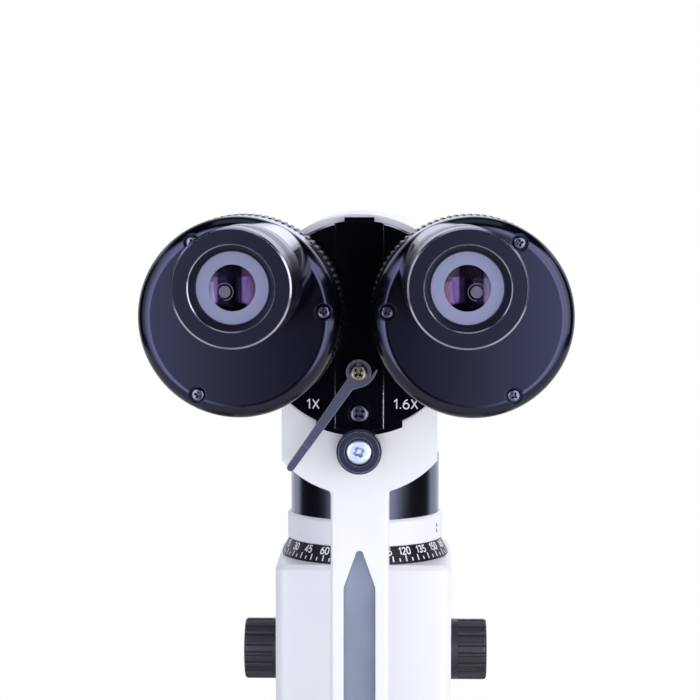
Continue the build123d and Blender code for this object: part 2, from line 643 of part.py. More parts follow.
def save_half(side, name):
    frame = half_plane(side)
    hub_hole = hub_bar(side, HUB_RADIUS + SEAT_GAP, HOUSING_DEPTH - COVER_FRONT - 3.0, 12)
    light_hole = hub_bar(side, HUB_BORE - 1.5, -COVER_FRONT, COVER_FRONT)
    light_hole &= frame * rod(HOUSING_RADIUS, (0, 0, -HOUSING_DEPTH), (0, 0, 1), HOUSING_REAR_WALL + 1)
    save(f"{name}_hinge_hub", make_hinge_hub(side))
    save(f"{name}_prism_housing", frame * make_prism_housing(side) - hub_hole - light_hole)
    save(f"{name}_grip_ring", frame * make_grip_ring())
    save(f"{name}_housing_cover", frame * make_housing_cover(side))
    save(f"{name}_cover_screws", group(frame * screw for screw in make_cover_screws(side).solids()))
    save(f"{name}_prism", frame * make_prism(side))
    save(f"{name}_eyepiece_tube", frame * make_eyepiece_tube(side))
    save(f"{name}_dioptre_ring", frame * make_eyepiece(side))
    save(f"{name}_retaining_ring", frame * make_retaining_ring(side))
    save(f"{name}_eye_lens", frame * make_eye_lens(side))


# Magnification changer
def make_changer_lever():
    """Flat lever with a hub, a hooked ear, and a tip that steps back towards the body."""
    front = PLATE_Y - LEVER_STANDOFF - LEVER_THICK
    root = LEVER_ROOT_WIDTH / 2
    tip = LEVER_TIP_WIDTH / 2
    end = LEVER_LENGTH - tip
    step_width = root + (tip - root) * LEVER_STEP_AT / end
    taper = ((0, -root), (LEVER_STEP_AT, -step_width), (LEVER_STEP_AT, step_width), (0, root))
    arm = Polyline(*taper, close=True)
    point = Polyline((LEVER_STEP_AT - 1.2, -step_width), (end, -tip), (end, tip),
                     (LEVER_STEP_AT - 1.2, step_width), close=True)
    ear = make_face(Polyline(*LEVER_EAR, close=True))
    place = Pos(0, -LEVER_DROP)
    turn = place * Rot(0, 0, -90 - LEVER_ANGLE)
    flat = place * (Circle(LEVER_HUB_RADIUS) + ear) + turn * make_face(arm)
    stepped = turn * (make_face(point) + Pos(end, 0) * Circle(tip))
    lever = head_prism(flat, front, LEVER_THICK)
    lever += head_prism(stepped, front + LEVER_STEP, LEVER_THICK)
    return lever - head_rod(SCREW_SHANK + SEAT_GAP, 0, LEVER_DROP, front - 5, 12)


def make_lever_spindle():
    """Spindle with the lever's boss in front and, behind, the bevel gear that flips the lens carrier."""
    reach = BEVEL_MODULE * CARRIER_GEAR_TEETH / 2
    apex = front_of(0, LEVER_DROP, PLATE_Y + CARRIER_Y)
    flat = Plane(origin=apex, x_dir=(1, 0, 0), z_dir=(0, 1, 0))
    gear = flat * bevel_gear(LEVER_GEAR_TEETH, CARRIER_GEAR_TEETH, BEVEL_MODULE, BEVEL_BACKLASH,
                             BEVEL_FACE_SHARE)
    start = PLATE_Y - LEVER_STANDOFF
    shaft = head_rod(SPINDLE_RADIUS, 0, LEVER_DROP, start, LEVER_STANDOFF + CARRIER_Y - reach + 0.5)
    boss = head_rod(SPINDLE_BOSS_RADIUS, 0, LEVER_DROP, start, LEVER_STANDOFF - OPEN_GAP)
    return gear + shaft + boss - head_rod(SCREW_SHANK, 0, LEVER_DROP, start - 1, 7)


def flipped(shape):
    """Lay a shape back from above the cross shaft to behind it, as at the low magnification."""
    shaft_y = PLATE_Y + CARRIER_Y
    shaft_z = OPTIC_HEIGHT - LEVER_DROP
    return Pos(0, shaft_y, shaft_z) * Rot(-90, 0, 0) * Pos(0, -shaft_y, -shaft_z) * shape


def make_lens_carrier():
    """Two lens barrels on a cross shaft, flipped into or out of the light."""
    shaft_z = OPTIC_HEIGHT - LEVER_DROP
    shaft_y = PLATE_Y + CARRIER_Y
    half_shaft = sqrt(BODY_RADIUS ** 2 - LEVER_DROP ** 2) - 1.0
    start = shaft_y - CARRIER_BARREL_LENGTH / 2
    barrels = rod(CARRIER_SHAFT_RADIUS, (-half_shaft, shaft_y, shaft_z), (1, 0, 0), 2 * half_shaft)
    for side in (-1, 1):
        x = side * HINGE_X
        barrels += rod(CARRIER_BARREL_RADIUS, (x, start, OPTIC_HEIGHT), (0, 1, 0), CARRIER_BARREL_LENGTH)
        barrels += block(x - 2.5, x + 2.5, shaft_y - 2.5, shaft_y + 2.5, shaft_z, OPTIC_HEIGHT - 5.0)
    for side in (-1, 1):
        light = rod(CARRIER_LENS_RADIUS, (side * HINGE_X, start - 1, OPTIC_HEIGHT), (0, 1, 0),
                    CARRIER_BARREL_LENGTH + 2)
        barrels -= light
    phase = 90.0 + 180.0 / CARRIER_GEAR_TEETH
    flat = Plane(origin=(0, shaft_y, shaft_z), x_dir=(0, 0, 1), z_dir=(1, 0, 0))
    gear = flat * bevel_gear(CARRIER_GEAR_TEETH, LEVER_GEAR_TEETH, BEVEL_MODULE, BEVEL_BACKLASH,
                             BEVEL_FACE_SHARE, phase)
    return flipped(barrels) + gear


def make_carrier_lenses():
    lenses = []
    for side in (-1, 1):
        for end in (-1, 1):
            y = PLATE_Y + CARRIER_Y + end * (CARRIER_BARREL_LENGTH / 2 - 1.0)
            at = (side * HINGE_X, y, OPTIC_HEIGHT)
            glass = lens(CARRIER_LENS_RADIUS - SEAT_GAP, CARRIER_LENS_THICK, 0.5, at, (0, -end, 0))
            lenses.append(flipped(glass))
    return group(lenses)


def save_head():
    plate_screw_seat = front_of(0, PLATE_SCREW_DROP, PLATE_Y + HEAD_THICK)
    save("microscope_body", make_microscope_body())
    save("front_plate", make_front_plate())
    plate_screw = cross_head(PLATE_SCREW_HEAD, HEAD_THICK, plate_screw_seat, (0, -1, 0), SCREW_SHANK, 4)
    save("plate_screw", plate_screw)
    save("objective_ring", make_objective_ring())
    lens_seat = front_of(0, 0, BODY_REAR - 0.5)
    save("objective_lens", lens(OBJECTIVE_BORE - 1.5 - SEAT_GAP, LENS_THICK, 1.6, lens_seat, (0, 1, 0)))
    save("changer_lever", make_changer_lever())
    lever_front = PLATE_Y - LEVER_STANDOFF - LEVER_THICK
    save("lever_screw", cross_head(LEVER_SCREW_RADIUS, HEAD_THICK, front_of(0, LEVER_DROP, lever_front),
                                   (0, -1, 0), SCREW_SHANK, 6))
    save("lever_spindle", make_lever_spindle())
    save("lens_carrier", make_lens_carrier())
    save("carrier_lenses", make_carrier_lenses())
    knob_rear = PLATE_Y - OPEN_GAP
    neck_rear = BODY_FRONT - OPEN_GAP
    knob = rod(THUMB_RADIUS, front_of(0, THUMB_DROP, knob_rear), (0, -1, 0), THUMB_LENGTH)
    knob = chamfer(knob.edges().filter_by(GeomType.CIRCLE).sort_by(Axis.Y)[0], 0.7)
    knob += rod(THUMB_NECK_RADIUS, front_of(0, THUMB_DROP, neck_rear), (0, -1, 0), neck_rear - knob_rear + 1)
    seat = knob_rear - THUMB_LENGTH + THUMB_SCREW_THICK
    knob -= rod(THUMB_SCREW_HEAD + 0.2, front_of(0, THUMB_DROP, seat), (0, -1, 0), 3)
    knob -= rod(SCREW_SHANK + SEAT_GAP, front_of(0, THUMB_DROP, neck_rear + 1), (0, -1, 0), 20)
    save("thumb_knob", knob)
    thumb_seat = front_of(0, THUMB_DROP, seat)
    shank_length = neck_rear - seat + THUMB_SCREW_REACH
    save("thumb_screw", cross_head(THUMB_SCREW_HEAD, THUMB_SCREW_THICK, thumb_seat, (0, -1, 0),
                                   SCREW_SHANK, shank_length))
    save_half(-1, "left")
    save_half(1, "right")


# Lamp tower
def tower_bar(radius, bottom, height):
    """Upright round bar on the tower's axis."""
    return rod(radius, (0, TOWER_Y, bottom), (0, 0, 1), height)


def square_bar(width, bottom, height, corner):
    """Upright square bar on the tower's axis with rounded corners."""
    return Pos(0, TOWER_Y, bottom) * extrude(RectangleRounded(width, width, corner), height)


def width_shaft(radius, half):
    """Bar on the axis of the slit width knobs."""
    at = (-half, TOWER_Y + WIDTH_SHAFT_OFFSET, BLOCK_BOTTOM + WIDTH_SHAFT_RISE)
    return rod(radius, at, (1, 0, 0), 2 * half)


def make_slit_block():
    body = square_bar(BLOCK_WIDTH, BLOCK_BOTTOM, BLOCK_HEIGHT, BLOCK_CORNER)
    body = chamfer(body.faces().sort_by(Axis.Z)[-1].edges(), BLOCK_CHAMFER)
    body -= square_bar(BLOCK_WIDTH - 2 * BLOCK_WALL, BLOCK_BOTTOM - 1, BLOCK_HEIGHT - BLOCK_TOP_WALL + 1, 2.0)
    body -= tower_bar(TOWER_SPIGOT_RADIUS + RUN_GAP, BLOCK_BOTTOM, BLOCK_HEIGHT + 1)
    return body - width_shaft(WIDTH_SHAFT_RADIUS + RUN_GAP, BLOCK_WIDTH)


def make_width_knobs():
    """One shaft across the slit block, with a fluted knob at each end and the cam between."""
    knob_z = BLOCK_BOTTOM + WIDTH_SHAFT_RISE
    knob_y = TOWER_Y + WIDTH_SHAFT_OFFSET
    half = BLOCK_WIDTH / 2 + OPEN_GAP
    body = width_shaft(WIDTH_SHAFT_RADIUS, half + 1)
    for side in (-1, 1):
        knob = rod(WIDTH_KNOB_RADIUS, (side * half, knob_y, knob_z), (side, 0, 0), WIDTH_KNOB_LENGTH)
        knob = fillet(knob.edges().filter_by(GeomType.CIRCLE).sort_by(Axis.X)[-1 if side > 0 else 0],
                      WIDTH_KNOB_ROUND)
        for index in range(WIDTH_KNOB_FLUTES):
            angle = 2 * pi * index / WIDTH_KNOB_FLUTES
            reach = WIDTH_KNOB_RADIUS + 0.4
            at = (side * (half + WIDTH_KNOB_RIM), knob_y + reach * cos(angle), knob_z + reach * sin(angle))
            knob -= rod(1.0, at, (side, 0, 0), WIDTH_KNOB_LENGTH)
        body += knob
    cam_at = (-WIDTH_CAM_LENGTH / 2, knob_y + WIDTH_CAM_THROW, knob_z)
    cam = rod(WIDTH_CAM_RADIUS, cam_at, (1, 0, 0), WIDTH_CAM_LENGTH)
    return body + cam


def make_lamp_house():
    body = square_bar(LAMP_HOUSE_WIDTH, LAMP_HOUSE_BOTTOM, LAMP_HOUSE_HEIGHT, LAMP_CORNER)
    body = chamfer(body.faces().sort_by(Axis.Z)[0].edges(), LAMP_CHAMFER)
    body -= square_bar(LAMP_HOUSE_WIDTH - 2 * LAMP_WALL, LAMP_HOUSE_BOTTOM + LAMP_FLOOR,
                       LAMP_HOUSE_HEIGHT, LAMP_CORNER - LAMP_WALL)
    for index in range(VENT_COUNT):
        z = LAMP_HOUSE_BOTTOM + VENT_START + index * VENT_PITCH
        rear = TOWER_Y + LAMP_HOUSE_WIDTH / 2
        body -= block(-VENT_HALF_WIDTH, VENT_HALF_WIDTH, rear - LAMP_WALL - 1, rear + 1, z, z + VENT_HEIGHT)
    socket = tower_bar(SOCKET_RADIUS, LAMP_HOUSE_BOTTOM + LAMP_FLOOR - 0.1, SOCKET_HEIGHT)
    socket -= tower_bar(BULB_STEM_RADIUS + SEAT_GAP, LAMP_HOUSE_BOTTOM + BULB_SEAT, 2 * SOCKET_HEIGHT)
    return body + socket


def make_lamp_bulb():
    stem = BULB_STEM_RADIUS
    base = LAMP_HOUSE_BOTTOM + BULB_SEAT
    outline = [(0, 0), (stem, 0), (stem, 10), (BULB_RADIUS, 14), (BULB_RADIUS, 24), (stem, 29), (0, 30)]
    return turned(outline, (0, TOWER_Y, base))


def make_graduated_ring():
    bore = TOWER_SPIGOT_RADIUS + CONE_BORE_GAP
    outline = [(bore, 0), (CONE_BASE_RADIUS, 0), (CONE_BASE_RADIUS, CONE_EDGE),
               (CONE_TOP_RADIUS, CONE_HEIGHT), (bore, CONE_HEIGHT)]
    return turned(outline, (0, TOWER_Y, CONE_BOTTOM))


def make_drum_collar():
    bore = TOWER_SPIGOT_RADIUS + SEAT_GAP
    seat_radius = DRUM_RADIUS - DRUM_SPIGOT_INSET
    seat_floor = COLLAR_HEIGHT - DRUM_SPIGOT_DEPTH
    outline = [(bore, 0), (COLLAR_RADIUS - COLLAR_LOW_BEVEL, 0), (COLLAR_RADIUS, COLLAR_LOW_BEVEL),
               (COLLAR_RADIUS, COLLAR_HEIGHT - COLLAR_BEVEL), (COLLAR_RADIUS - COLLAR_BEVEL, COLLAR_HEIGHT),
               (seat_radius, COLLAR_HEIGHT), (seat_radius, seat_floor), (bore, seat_floor)]
    return turned(outline, (0, TOWER_Y, COLLAR_BOTTOM))


def make_slit_drum():
    """Black drum that turns the slit, with its tube down through the collar and the ring."""
    height = DRUM_TOP - COLLAR_TOP
    bore = NECK_RADIUS + 1.0
    tube = TOWER_SPIGOT_RADIUS
    low = BLOCK_TOP - BLOCK_TOP_WALL + 0.5 - COLLAR_TOP
    spigot = DRUM_RADIUS - DRUM_SPIGOT_INSET - SEAT_GAP
    outline = [(bore, low), (tube, low), (tube, -DRUM_SPIGOT_DEPTH), (spigot, -DRUM_SPIGOT_DEPTH),
               (spigot, 0), (DRUM_RADIUS, 0), (DRUM_RADIUS, height - DRUM_TOP_CHAMFER),
               (DRUM_RADIUS - DRUM_TOP_CHAMFER, height), (bore, height)]
    return turned(outline, (0, TOWER_Y, COLLAR_TOP))


def make_prism_head():
    """Neck tube that stays still inside the drum, and the slim head with its slanted mirror seat."""
    low = BLOCK_TOP - BLOCK_TOP_WALL
    head_top = OPTIC_HEIGHT + HEAD_RISE
    neck = tower_bar(NECK_RADIUS, low - 1, DRUM_TOP + 12 - low)
    flange = tower_bar(TOWER_SPIGOT_RADIUS + 4, low - 3, 3)
    head = Pos(0, TOWER_Y, 0) * block(-HEAD_WIDTH / 2, HEAD_WIDTH / 2, -HEAD_DEPTH / 2, HEAD_DEPTH / 2,
                                      DRUM_TOP + 10, head_top)
    head = chamfer(head.faces().sort_by(Axis.Z)[-1].edges(), 2.0)
    body = neck + head + flange
    body -= tower_bar(LIGHT_HALF, low - 4, OPTIC_HEIGHT - 9 - low + 4)
    window_bottom = OPTIC_HEIGHT - LIGHT_HALF
    rear = TOWER_Y + HEAD_DEPTH / 2
    body -= block(-LIGHT_HALF, LIGHT_HALF, rear - 2 * LIGHT_HALF, rear + 1, window_bottom,
                  OPTIC_HEIGHT + LIGHT_HALF)
    return body - block(-LIGHT_HALF, LIGHT_HALF, TOWER_Y - LIGHT_HALF, TOWER_Y + LIGHT_HALF,
                        OPTIC_HEIGHT - HEAD_RISE, window_bottom + 0.5)


def make_head_mirror():
    """Right-angle prism that sends the slit of light towards the pivot axis."""
    rear = TOWER_Y + HEAD_DEPTH / 2 - 1.0
    low = OPTIC_HEIGHT - MIRROR_HALF
    outline = Polyline((rear, low), (rear - MIRROR_LEG, low), (rear, low + MIRROR_LEG), close=True)
    wedge = Plane(origin=(0, 0, 0), x_dir=(0, 1, 0), z_dir=(1, 0, 0)) * make_face(outline)
    return extrude(wedge, MIRROR_HALF, both=True)


def make_arm(bottom, height, reach, end_width, end_length):
    """Flat arm from the pivot hub along -Y to an end pad."""
    hub = Circle(ARM_HUB_RADIUS)
    beam = Pos(0, -reach / 2) * Rectangle(ARM_WIDTH, reach)
    pad = Pos(0, -reach) * RectangleRounded(end_width, end_length, 4.0)
    arm = Pos(0, 0, bottom) * extrude(hub + beam + pad, height)
    arm = chamfer(arm.faces().sort_by(Axis.Z)[-1].edges(), 1.2)
    return arm - rod(PIVOT_RADIUS + RUN_GAP, (0, 0, bottom - 1), (0, 0, 1), height + 2)


def save_tower():
    save("slit_block", make_slit_block())
    save("width_knobs", make_width_knobs())
    save("lamp_house", make_lamp_house())
    save("lamp_bulb", make_lamp_bulb())
    save("graduated_ring", make_graduated_ring())
    save("drum_collar", make_drum_collar())
    save("slit_drum", make_slit_drum())
    save("prism_head", make_prism_head())
    save("head_prism", make_head_mirror())
    stem_middle = BODY_FRONT + STEM_DEPTH / 2
    save("microscope_arm", make_arm(MICROSCOPE_ARM_BOTTOM, MICROSCOPE_ARM_HEIGHT, -stem_middle,
                                    2 * STEM_HALF_WIDTH + 8, STEM_DEPTH + 2))
    save("illumination_arm", make_arm(LAMP_ARM_BOTTOM, LAMP_ARM_HEIGHT, -TOWER_Y, LAMP_HOUSE_WIDTH - 6, 44))


# Column, base and joystick
def make_pivot_shaft():
    low = SLEEVE_TOP
    top = LAMP_ARM_TOP + PIVOT_TOP_EXTRA
    shaft = rod(PIVOT_RADIUS, (0, 0, low), (0, 0, 1), top - low)
    shaft = chamfer(shaft.edges().filter_by(GeomType.CIRCLE).sort_by(Axis.Z)[-1], 0.8)
    return shaft - rod(TEST_ROD_RADIUS, (0, 0, top - TEST_ROD_DEPTH), (0, 0, 1), TEST_ROD_DEPTH + 1)


def make_column_post():
    """Hollow post that lifts on the screw, with a shoulder under the arms."""
    low = POST_BOTTOM
    post = rod(COLUMN_RADIUS, (0, 0, low), (0, 0, 1), SLEEVE_TOP - low)
    shoulder = rod(ARM_HUB_RADIUS, (0, 0, SLEEVE_TOP), (0, 0, 1), MICROSCOPE_ARM_BOTTOM - SLEEVE_TOP)
    post += shoulder
    post -= rod(PIVOT_RADIUS + SEAT_GAP, (0, 0, SLEEVE_TOP - 6), (0, 0, 1), 20)
    post -= rod(LIFT_SCREW_RADIUS + RUN_GAP, (0, 0, low - 1), (0, 0, 1), SLEEVE_TOP - 8 - low)
    return post


def make_column_sleeve():
    low = BASE_BOTTOM
    sleeve = rod(SLEEVE_RADIUS, (0, 0, low), (0, 0, 1), SLEEVE_TOP - low - SLIDE_GAP)
    sleeve -= rod(COLUMN_RADIUS + RUN_GAP, (0, 0, low + SLEEVE_FLOOR), (0, 0, 1), SLEEVE_TOP)
    sleeve -= rod(SCREW_PIN_RADIUS + RUN_GAP, (0, 0, low - 1), (0, 0, 1), 10)
    floor = low + SLEEVE_FLOOR
    window = block(-8, 8, -SLEEVE_RADIUS - 1, -10, floor, floor + BELT_WHEEL_HEIGHT + 1)
    return sleeve - window


def make_lift_screw():
    """Screw that raises the column, with its belt wheel under the post."""
    low = BASE_BOTTOM + SLEEVE_FLOOR + SLIDE_GAP
    screw = rod(LIFT_SCREW_RADIUS, (0, 0, low), (0, 0, 1), SLEEVE_TOP - 14 - low)
    wheel = rod(BELT_WHEEL_RADIUS, (0, 0, low), (0, 0, 1), BELT_WHEEL_HEIGHT)
    groove_at = (0, 0, low + 1.5)
    wheel -= pipe(BELT_WHEEL_RADIUS + 2, BELT_WHEEL_RADIUS - 1, groove_at, (0, 0, 1), BELT_WHEEL_HEIGHT - 3)
    pin = rod(SCREW_PIN_RADIUS, (0, 0, BASE_BOTTOM), (0, 0, 1), SLEEVE_FLOOR + 1)
    return screw + wheel + pin


def base_outline(shrink):
    """Base seen from above: rectangle with a narrower rounded front."""
    half = BASE_WIDTH / 2 - shrink
    length = BASE_REAR - BASE_FRONT - 2 * shrink
    middle = (BASE_REAR + BASE_FRONT) / 2
    return Pos(0, middle) * RectangleRounded(2 * half, length, BASE_CORNER - shrink)


def make_base_housing():
    shell = Pos(0, 0, BASE_BOTTOM) * extrude(base_outline(0), BASE_TOP - BASE_BOTTOM)
    shell = fillet(shell.faces().sort_by(Axis.Z)[-1].edges(), 6.0)
    hollow = extrude(base_outline(BASE_WALL), BASE_TOP - BASE_BOTTOM - BASE_WALL + 1)
    shell -= Pos(0, 0, BASE_BOTTOM - 1) * hollow
    top = BASE_TOP - BASE_WALL + 1
    for side in (-1, 1):
        outer = side * (BASE_WIDTH / 2 - 1)
        inner = side * (BASE_WIDTH / 2 - BUSH_LENGTH)
        bush = rod(AXLE_RADIUS + BUSH_WALL, (outer, AXLE_Y, AXLE_Z), (-side, 0, 0), BUSH_LENGTH)
        web = block(min(outer, inner), max(outer, inner), AXLE_Y - 3, AXLE_Y + 3, AXLE_Z, top)
        shell += bush + web
    foot_y = BASE_FRONT + 24
    shell += rod(9.0, (0, foot_y - 8, DECK_Z + SLIDE_GAP), (0, 0, 1), 12)
    shell += block(-4, 4, BASE_FRONT + 1, foot_y, DECK_Z + 10, top)
    deck_ring = rod(SLEEVE_RADIUS + 5, (0, 0, BASE_BOTTOM + 12), (0, 0, 1), top - BASE_BOTTOM - 12)
    shell += deck_ring
    shell -= rod(SLEEVE_RADIUS + SEAT_GAP, (0, 0, BASE_BOTTOM - 1), (0, 0, 1), BASE_TOP)
    shell -= rod(AXLE_RADIUS + RUN_GAP, (-BASE_WIDTH, AXLE_Y, AXLE_Z), (1, 0, 0), 2 * BASE_WIDTH)
    shell -= block(-BASE_WIDTH, BASE_WIDTH, BAR_FRONT - 1, BAR_FRONT + BAR_WIDTH + 1, 0,
                   BAR_BOTTOM + BAR_THICK + 1)
    socket = rod(BALL_RADIUS + 4, (0, JOYSTICK_Y, BALL_Z - BALL_RADIUS - 2), (0, 0, 1), 2 * BALL_RADIUS)
    shell += socket
    shell -= Pos(0, JOYSTICK_Y, BALL_Z) * Sphere(BALL_RADIUS + OPEN_GAP)
    shell -= rod(BALL_RADIUS * 0.86, (0, JOYSTICK_Y, BALL_Z), (0, 0, 1), 20)
    for y in (LOCK_Y, DIMMER_Y):
        side = -1 if y == LOCK_Y else 1
        start = (side * BASE_WIDTH, y, KNOB_Z)
        shell -= rod(KNOB_SHAFT_RADIUS + RUN_GAP, start, (-side, 0, 0), BASE_WIDTH - 20)
    return shell


def at_joystick(shape):
    """Move a shape drawn round the ball's centre to the joystick."""
    return Pos(0, JOYSTICK_Y, BALL_Z) * shape


def make_joystick_ball():
    """Ball that rocks fore and aft, slotted for the tongue that rocks sideways on its pin."""
    ball = Sphere(BALL_RADIUS) - block(-8.6, 8.6, -2.7, 2.7, -7.5, BALL_RADIUS)
    pin = rod(2.0, (0, -3.5, 0), (0, 1, 0), 7.0)
    return at_joystick(ball + pin)


def make_joystick_shaft():
    tongue = block(-4.6, 4.6, -2.5, 2.5, -5.5, BALL_RADIUS + 2)
    grip_base = RING_HEIGHT + 2 * BALL_RADIUS + 4
    top = JOYSTICK_TOP - BALL_Z
    outline = [(0, BALL_RADIUS + 1), (JOYSTICK_RADIUS, BALL_RADIUS + 1), (JOYSTICK_RADIUS, grip_base),
               (9.5, grip_base + 4), (8.0, grip_base + 22), (10.5, top - 14), (10.5, top - 4),
               (7.5, top), (0, top)]
    shaft = turned(outline, (0, 0, 0)) + tongue
    shaft -= rod(2.0 + RUN_GAP, (0, -4, 0), (0, 1, 0), 8)
    return at_joystick(shaft)


def make_height_ring():
    """Fluted ring round the joystick that drives the lift."""
    low = BALL_RADIUS + 6
    ring = rod(RING_RADIUS, (0, 0, low), (0, 0, 1), RING_HEIGHT)
    ring = fillet(ring.edges().filter_by(GeomType.CIRCLE), 2.0)
    for index in range(RING_FLUTES):
        angle = 2 * pi * index / RING_FLUTES
        reach = RING_RADIUS + 1.0
        ring -= rod(2.2, (reach * cos(angle), reach * sin(angle), 0), (0, 0, 1), low + RING_HEIGHT + 4)
    ring -= rod(JOYSTICK_RADIUS + RUN_GAP, (0, 0, 0), (0, 0, 1), low + RING_HEIGHT + 4)
    return at_joystick(ring)


def make_side_knob(side, y, flutes):
    """Knob on the base's side with its shaft through the wall."""
    wall = side * BASE_WIDTH / 2
    start = wall + side * OPEN_GAP
    knob = rod(KNOB_RADIUS, (start, y, KNOB_Z), (side, 0, 0), KNOB_LENGTH)
    knob = fillet(knob.edges().filter_by(GeomType.CIRCLE).sort_by(Axis.X)[-1 if side > 0 else 0], 1.5)
    for index in range(flutes):
        angle = 2 * pi * index / flutes
        reach = KNOB_RADIUS + 0.6
        at = (start + side * 3, y + reach * cos(angle), KNOB_Z + reach * sin(angle))
        knob -= rod(1.5, at, (side, 0, 0), KNOB_LENGTH)
    return knob + rod(KNOB_SHAFT_RADIUS, (start + side, y, KNOB_Z), (-side, 0, 0), 16)


def make_cross_axle():
    half = RAIL_X + WHEEL_WIDTH / 2
    return rod(AXLE_RADIUS, (-half, AXLE_Y, AXLE_Z), (1, 0, 0), 2 * half)


def make_drive_pinions():
    pinions = []
    for side in (-1, 1):
        centre = (side * RAIL_X - WHEEL_WIDTH / 2, AXLE_Y, AXLE_Z)
        flat = Plane(origin=centre, x_dir=(0, 0, -1), z_dir=(1, 0, 0))
        gear = flat * spur_gear(WHEEL_TEETH, WHEEL_MODULE, 0.15, WHEEL_WIDTH)
        hole = rod(AXLE_RADIUS + SEAT_GAP, (side * RAIL_X - 20, AXLE_Y, AXLE_Z), (1, 0, 0), 40)
        pinions.append(gear - hole)
    return group(pinions)


def make_toothed_rail(side):
    """Rack with straight-sided teeth, a gap under the pinion's lowest tooth."""
    pitch = pi * WHEEL_MODULE
    top = RACK_PITCH_Z + WHEEL_MODULE * 0.8
    rail = block(side * RAIL_X - RAIL_WIDTH / 2, side * RAIL_X + RAIL_WIDTH / 2,
                 AXLE_Y - RAIL_LENGTH / 2, AXLE_Y + RAIL_LENGTH / 2, DECK_Z, top)
    count = int(RAIL_LENGTH / 2 / pitch)
    deep = RACK_PITCH_Z - WHEEL_MODULE * 1.3
    slope = tan(radians(20))
    space = pitch / 4 + 0.15
    outline = []
    for sign, height in ((-1, top + 0.5), (-1, deep), (1, deep), (1, top + 0.5)):
        outline.append((sign * (space + (height - RACK_PITCH_Z) * slope), height))
    flat = Plane(origin=(side * RAIL_X, AXLE_Y, 0), x_dir=(0, 1, 0), z_dir=(1, 0, 0))
    cutter = flat * extrude(make_face(Polyline(*outline, close=True)), RAIL_WIDTH, both=True)
    cuts = [Pos(0, index * pitch, 0) * cutter for index in range(-count + 1, count)]
    return rail - cuts


def make_carrier_bar():
    """Bar under the base that keeps the axle square, with a bearing lug at each end."""
    half = CARRIER_HALF
    bar = block(-half, half, BAR_FRONT, BAR_FRONT + BAR_WIDTH, BAR_BOTTOM, BAR_BOTTOM + BAR_THICK)
    for side in (-1, 1):
        lug_x = side * half
        inner = lug_x - side * 8
        lug = block(min(lug_x, inner), max(lug_x, inner), AXLE_Y, BAR_FRONT + BAR_WIDTH, BAR_BOTTOM,
                    AXLE_Z + 4)
        bar += lug + rod(AXLE_RADIUS + 4, (lug_x, AXLE_Y, AXLE_Z), (-side, 0, 0), 8)
    return bar - rod(AXLE_RADIUS + RUN_GAP, (-half - 1, AXLE_Y, AXLE_Z), (1, 0, 0), 2 * half + 2)


def make_rail_cover(side):
    """Hood over one pinion and its rail, open towards the base below its front lip."""
    inner = RAIL_X - COVER_RAIL_WIDTH / 2
    outer = RAIL_X + COVER_RAIL_WIDTH / 2
    front = AXLE_Y - COVER_RAIL_LENGTH / 2
    rear = AXLE_Y + COVER_RAIL_LENGTH / 2
    top = AXLE_Z + WHEEL_MODULE * WHEEL_TEETH / 2 + 6
    hood = block(inner, outer, front, rear, DECK_Z, top)
    hood = fillet(hood.faces().sort_by(Axis.Z)[-1].edges(), 2.0)
    hood -= block(inner - 1, outer - 2.5, front + 2.5, rear - 2.5, DECK_Z - 1, AXLE_Z + AXLE_RADIUS + 5)
    hood -= block(inner + 2.5, outer - 2.5, front + 2.5, rear - 2.5, DECK_Z - 1, top - 2.5)
    return hood if side > 0 else mirror(hood, about=Plane.YZ)


def make_rail_plate():
    middle = (RAIL_PLATE_FRONT + RAIL_PLATE_REAR) / 2
    length = RAIL_PLATE_REAR - RAIL_PLATE_FRONT
    plate = Pos(0, middle, 0) * extrude(RectangleRounded(RAIL_PLATE_X, length, 12), RAIL_PLATE_THICK)
    plate = chamfer(plate.faces().sort_by(Axis.Z)[-1].edges(), 0.8)
    for x in (-1, 1):
        for y in (-1, 1):
            at = (x * MOUNT_SPACING_X / 2, middle + y * MOUNT_SPACING_Y / 2, 0)
            plate -= rod(MOUNT_HOLE_RADIUS, at, (0, 0, 1), 20)
    return plate


def save_base():
    save("pivot_shaft", make_pivot_shaft())
    save("column_post", make_column_post())
    save("column_sleeve", make_column_sleeve())
    save("lift_screw", make_lift_screw())
    save("base_housing", make_base_housing())
    save("joystick_ball", make_joystick_ball())
    save("joystick_shaft", make_joystick_shaft())
    save("height_ring", make_height_ring())
    save("lock_knob", make_side_knob(-1, LOCK_Y, 6))
    save("brightness_knob", make_side_knob(1, DIMMER_Y, 20))
    save("carrier_bar", make_carrier_bar())
    save("cross_axle", make_cross_axle())
    save("drive_pinions", make_drive_pinions())
    save("toothed_rails", group(make_toothed_rail(side) for side in (-1, 1)))
    save("rail_covers", group(make_rail_cover(side) for side in (-1, 1)))
    save("rail_plate", make_rail_plate())


save_head()
save_tower()
save_base()
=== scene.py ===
"""Slit lamp: finishes, scale marks, small fasteners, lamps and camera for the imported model. Metres."""
import math

import bmesh
import bpy
from mathutils import Matrix, Vector


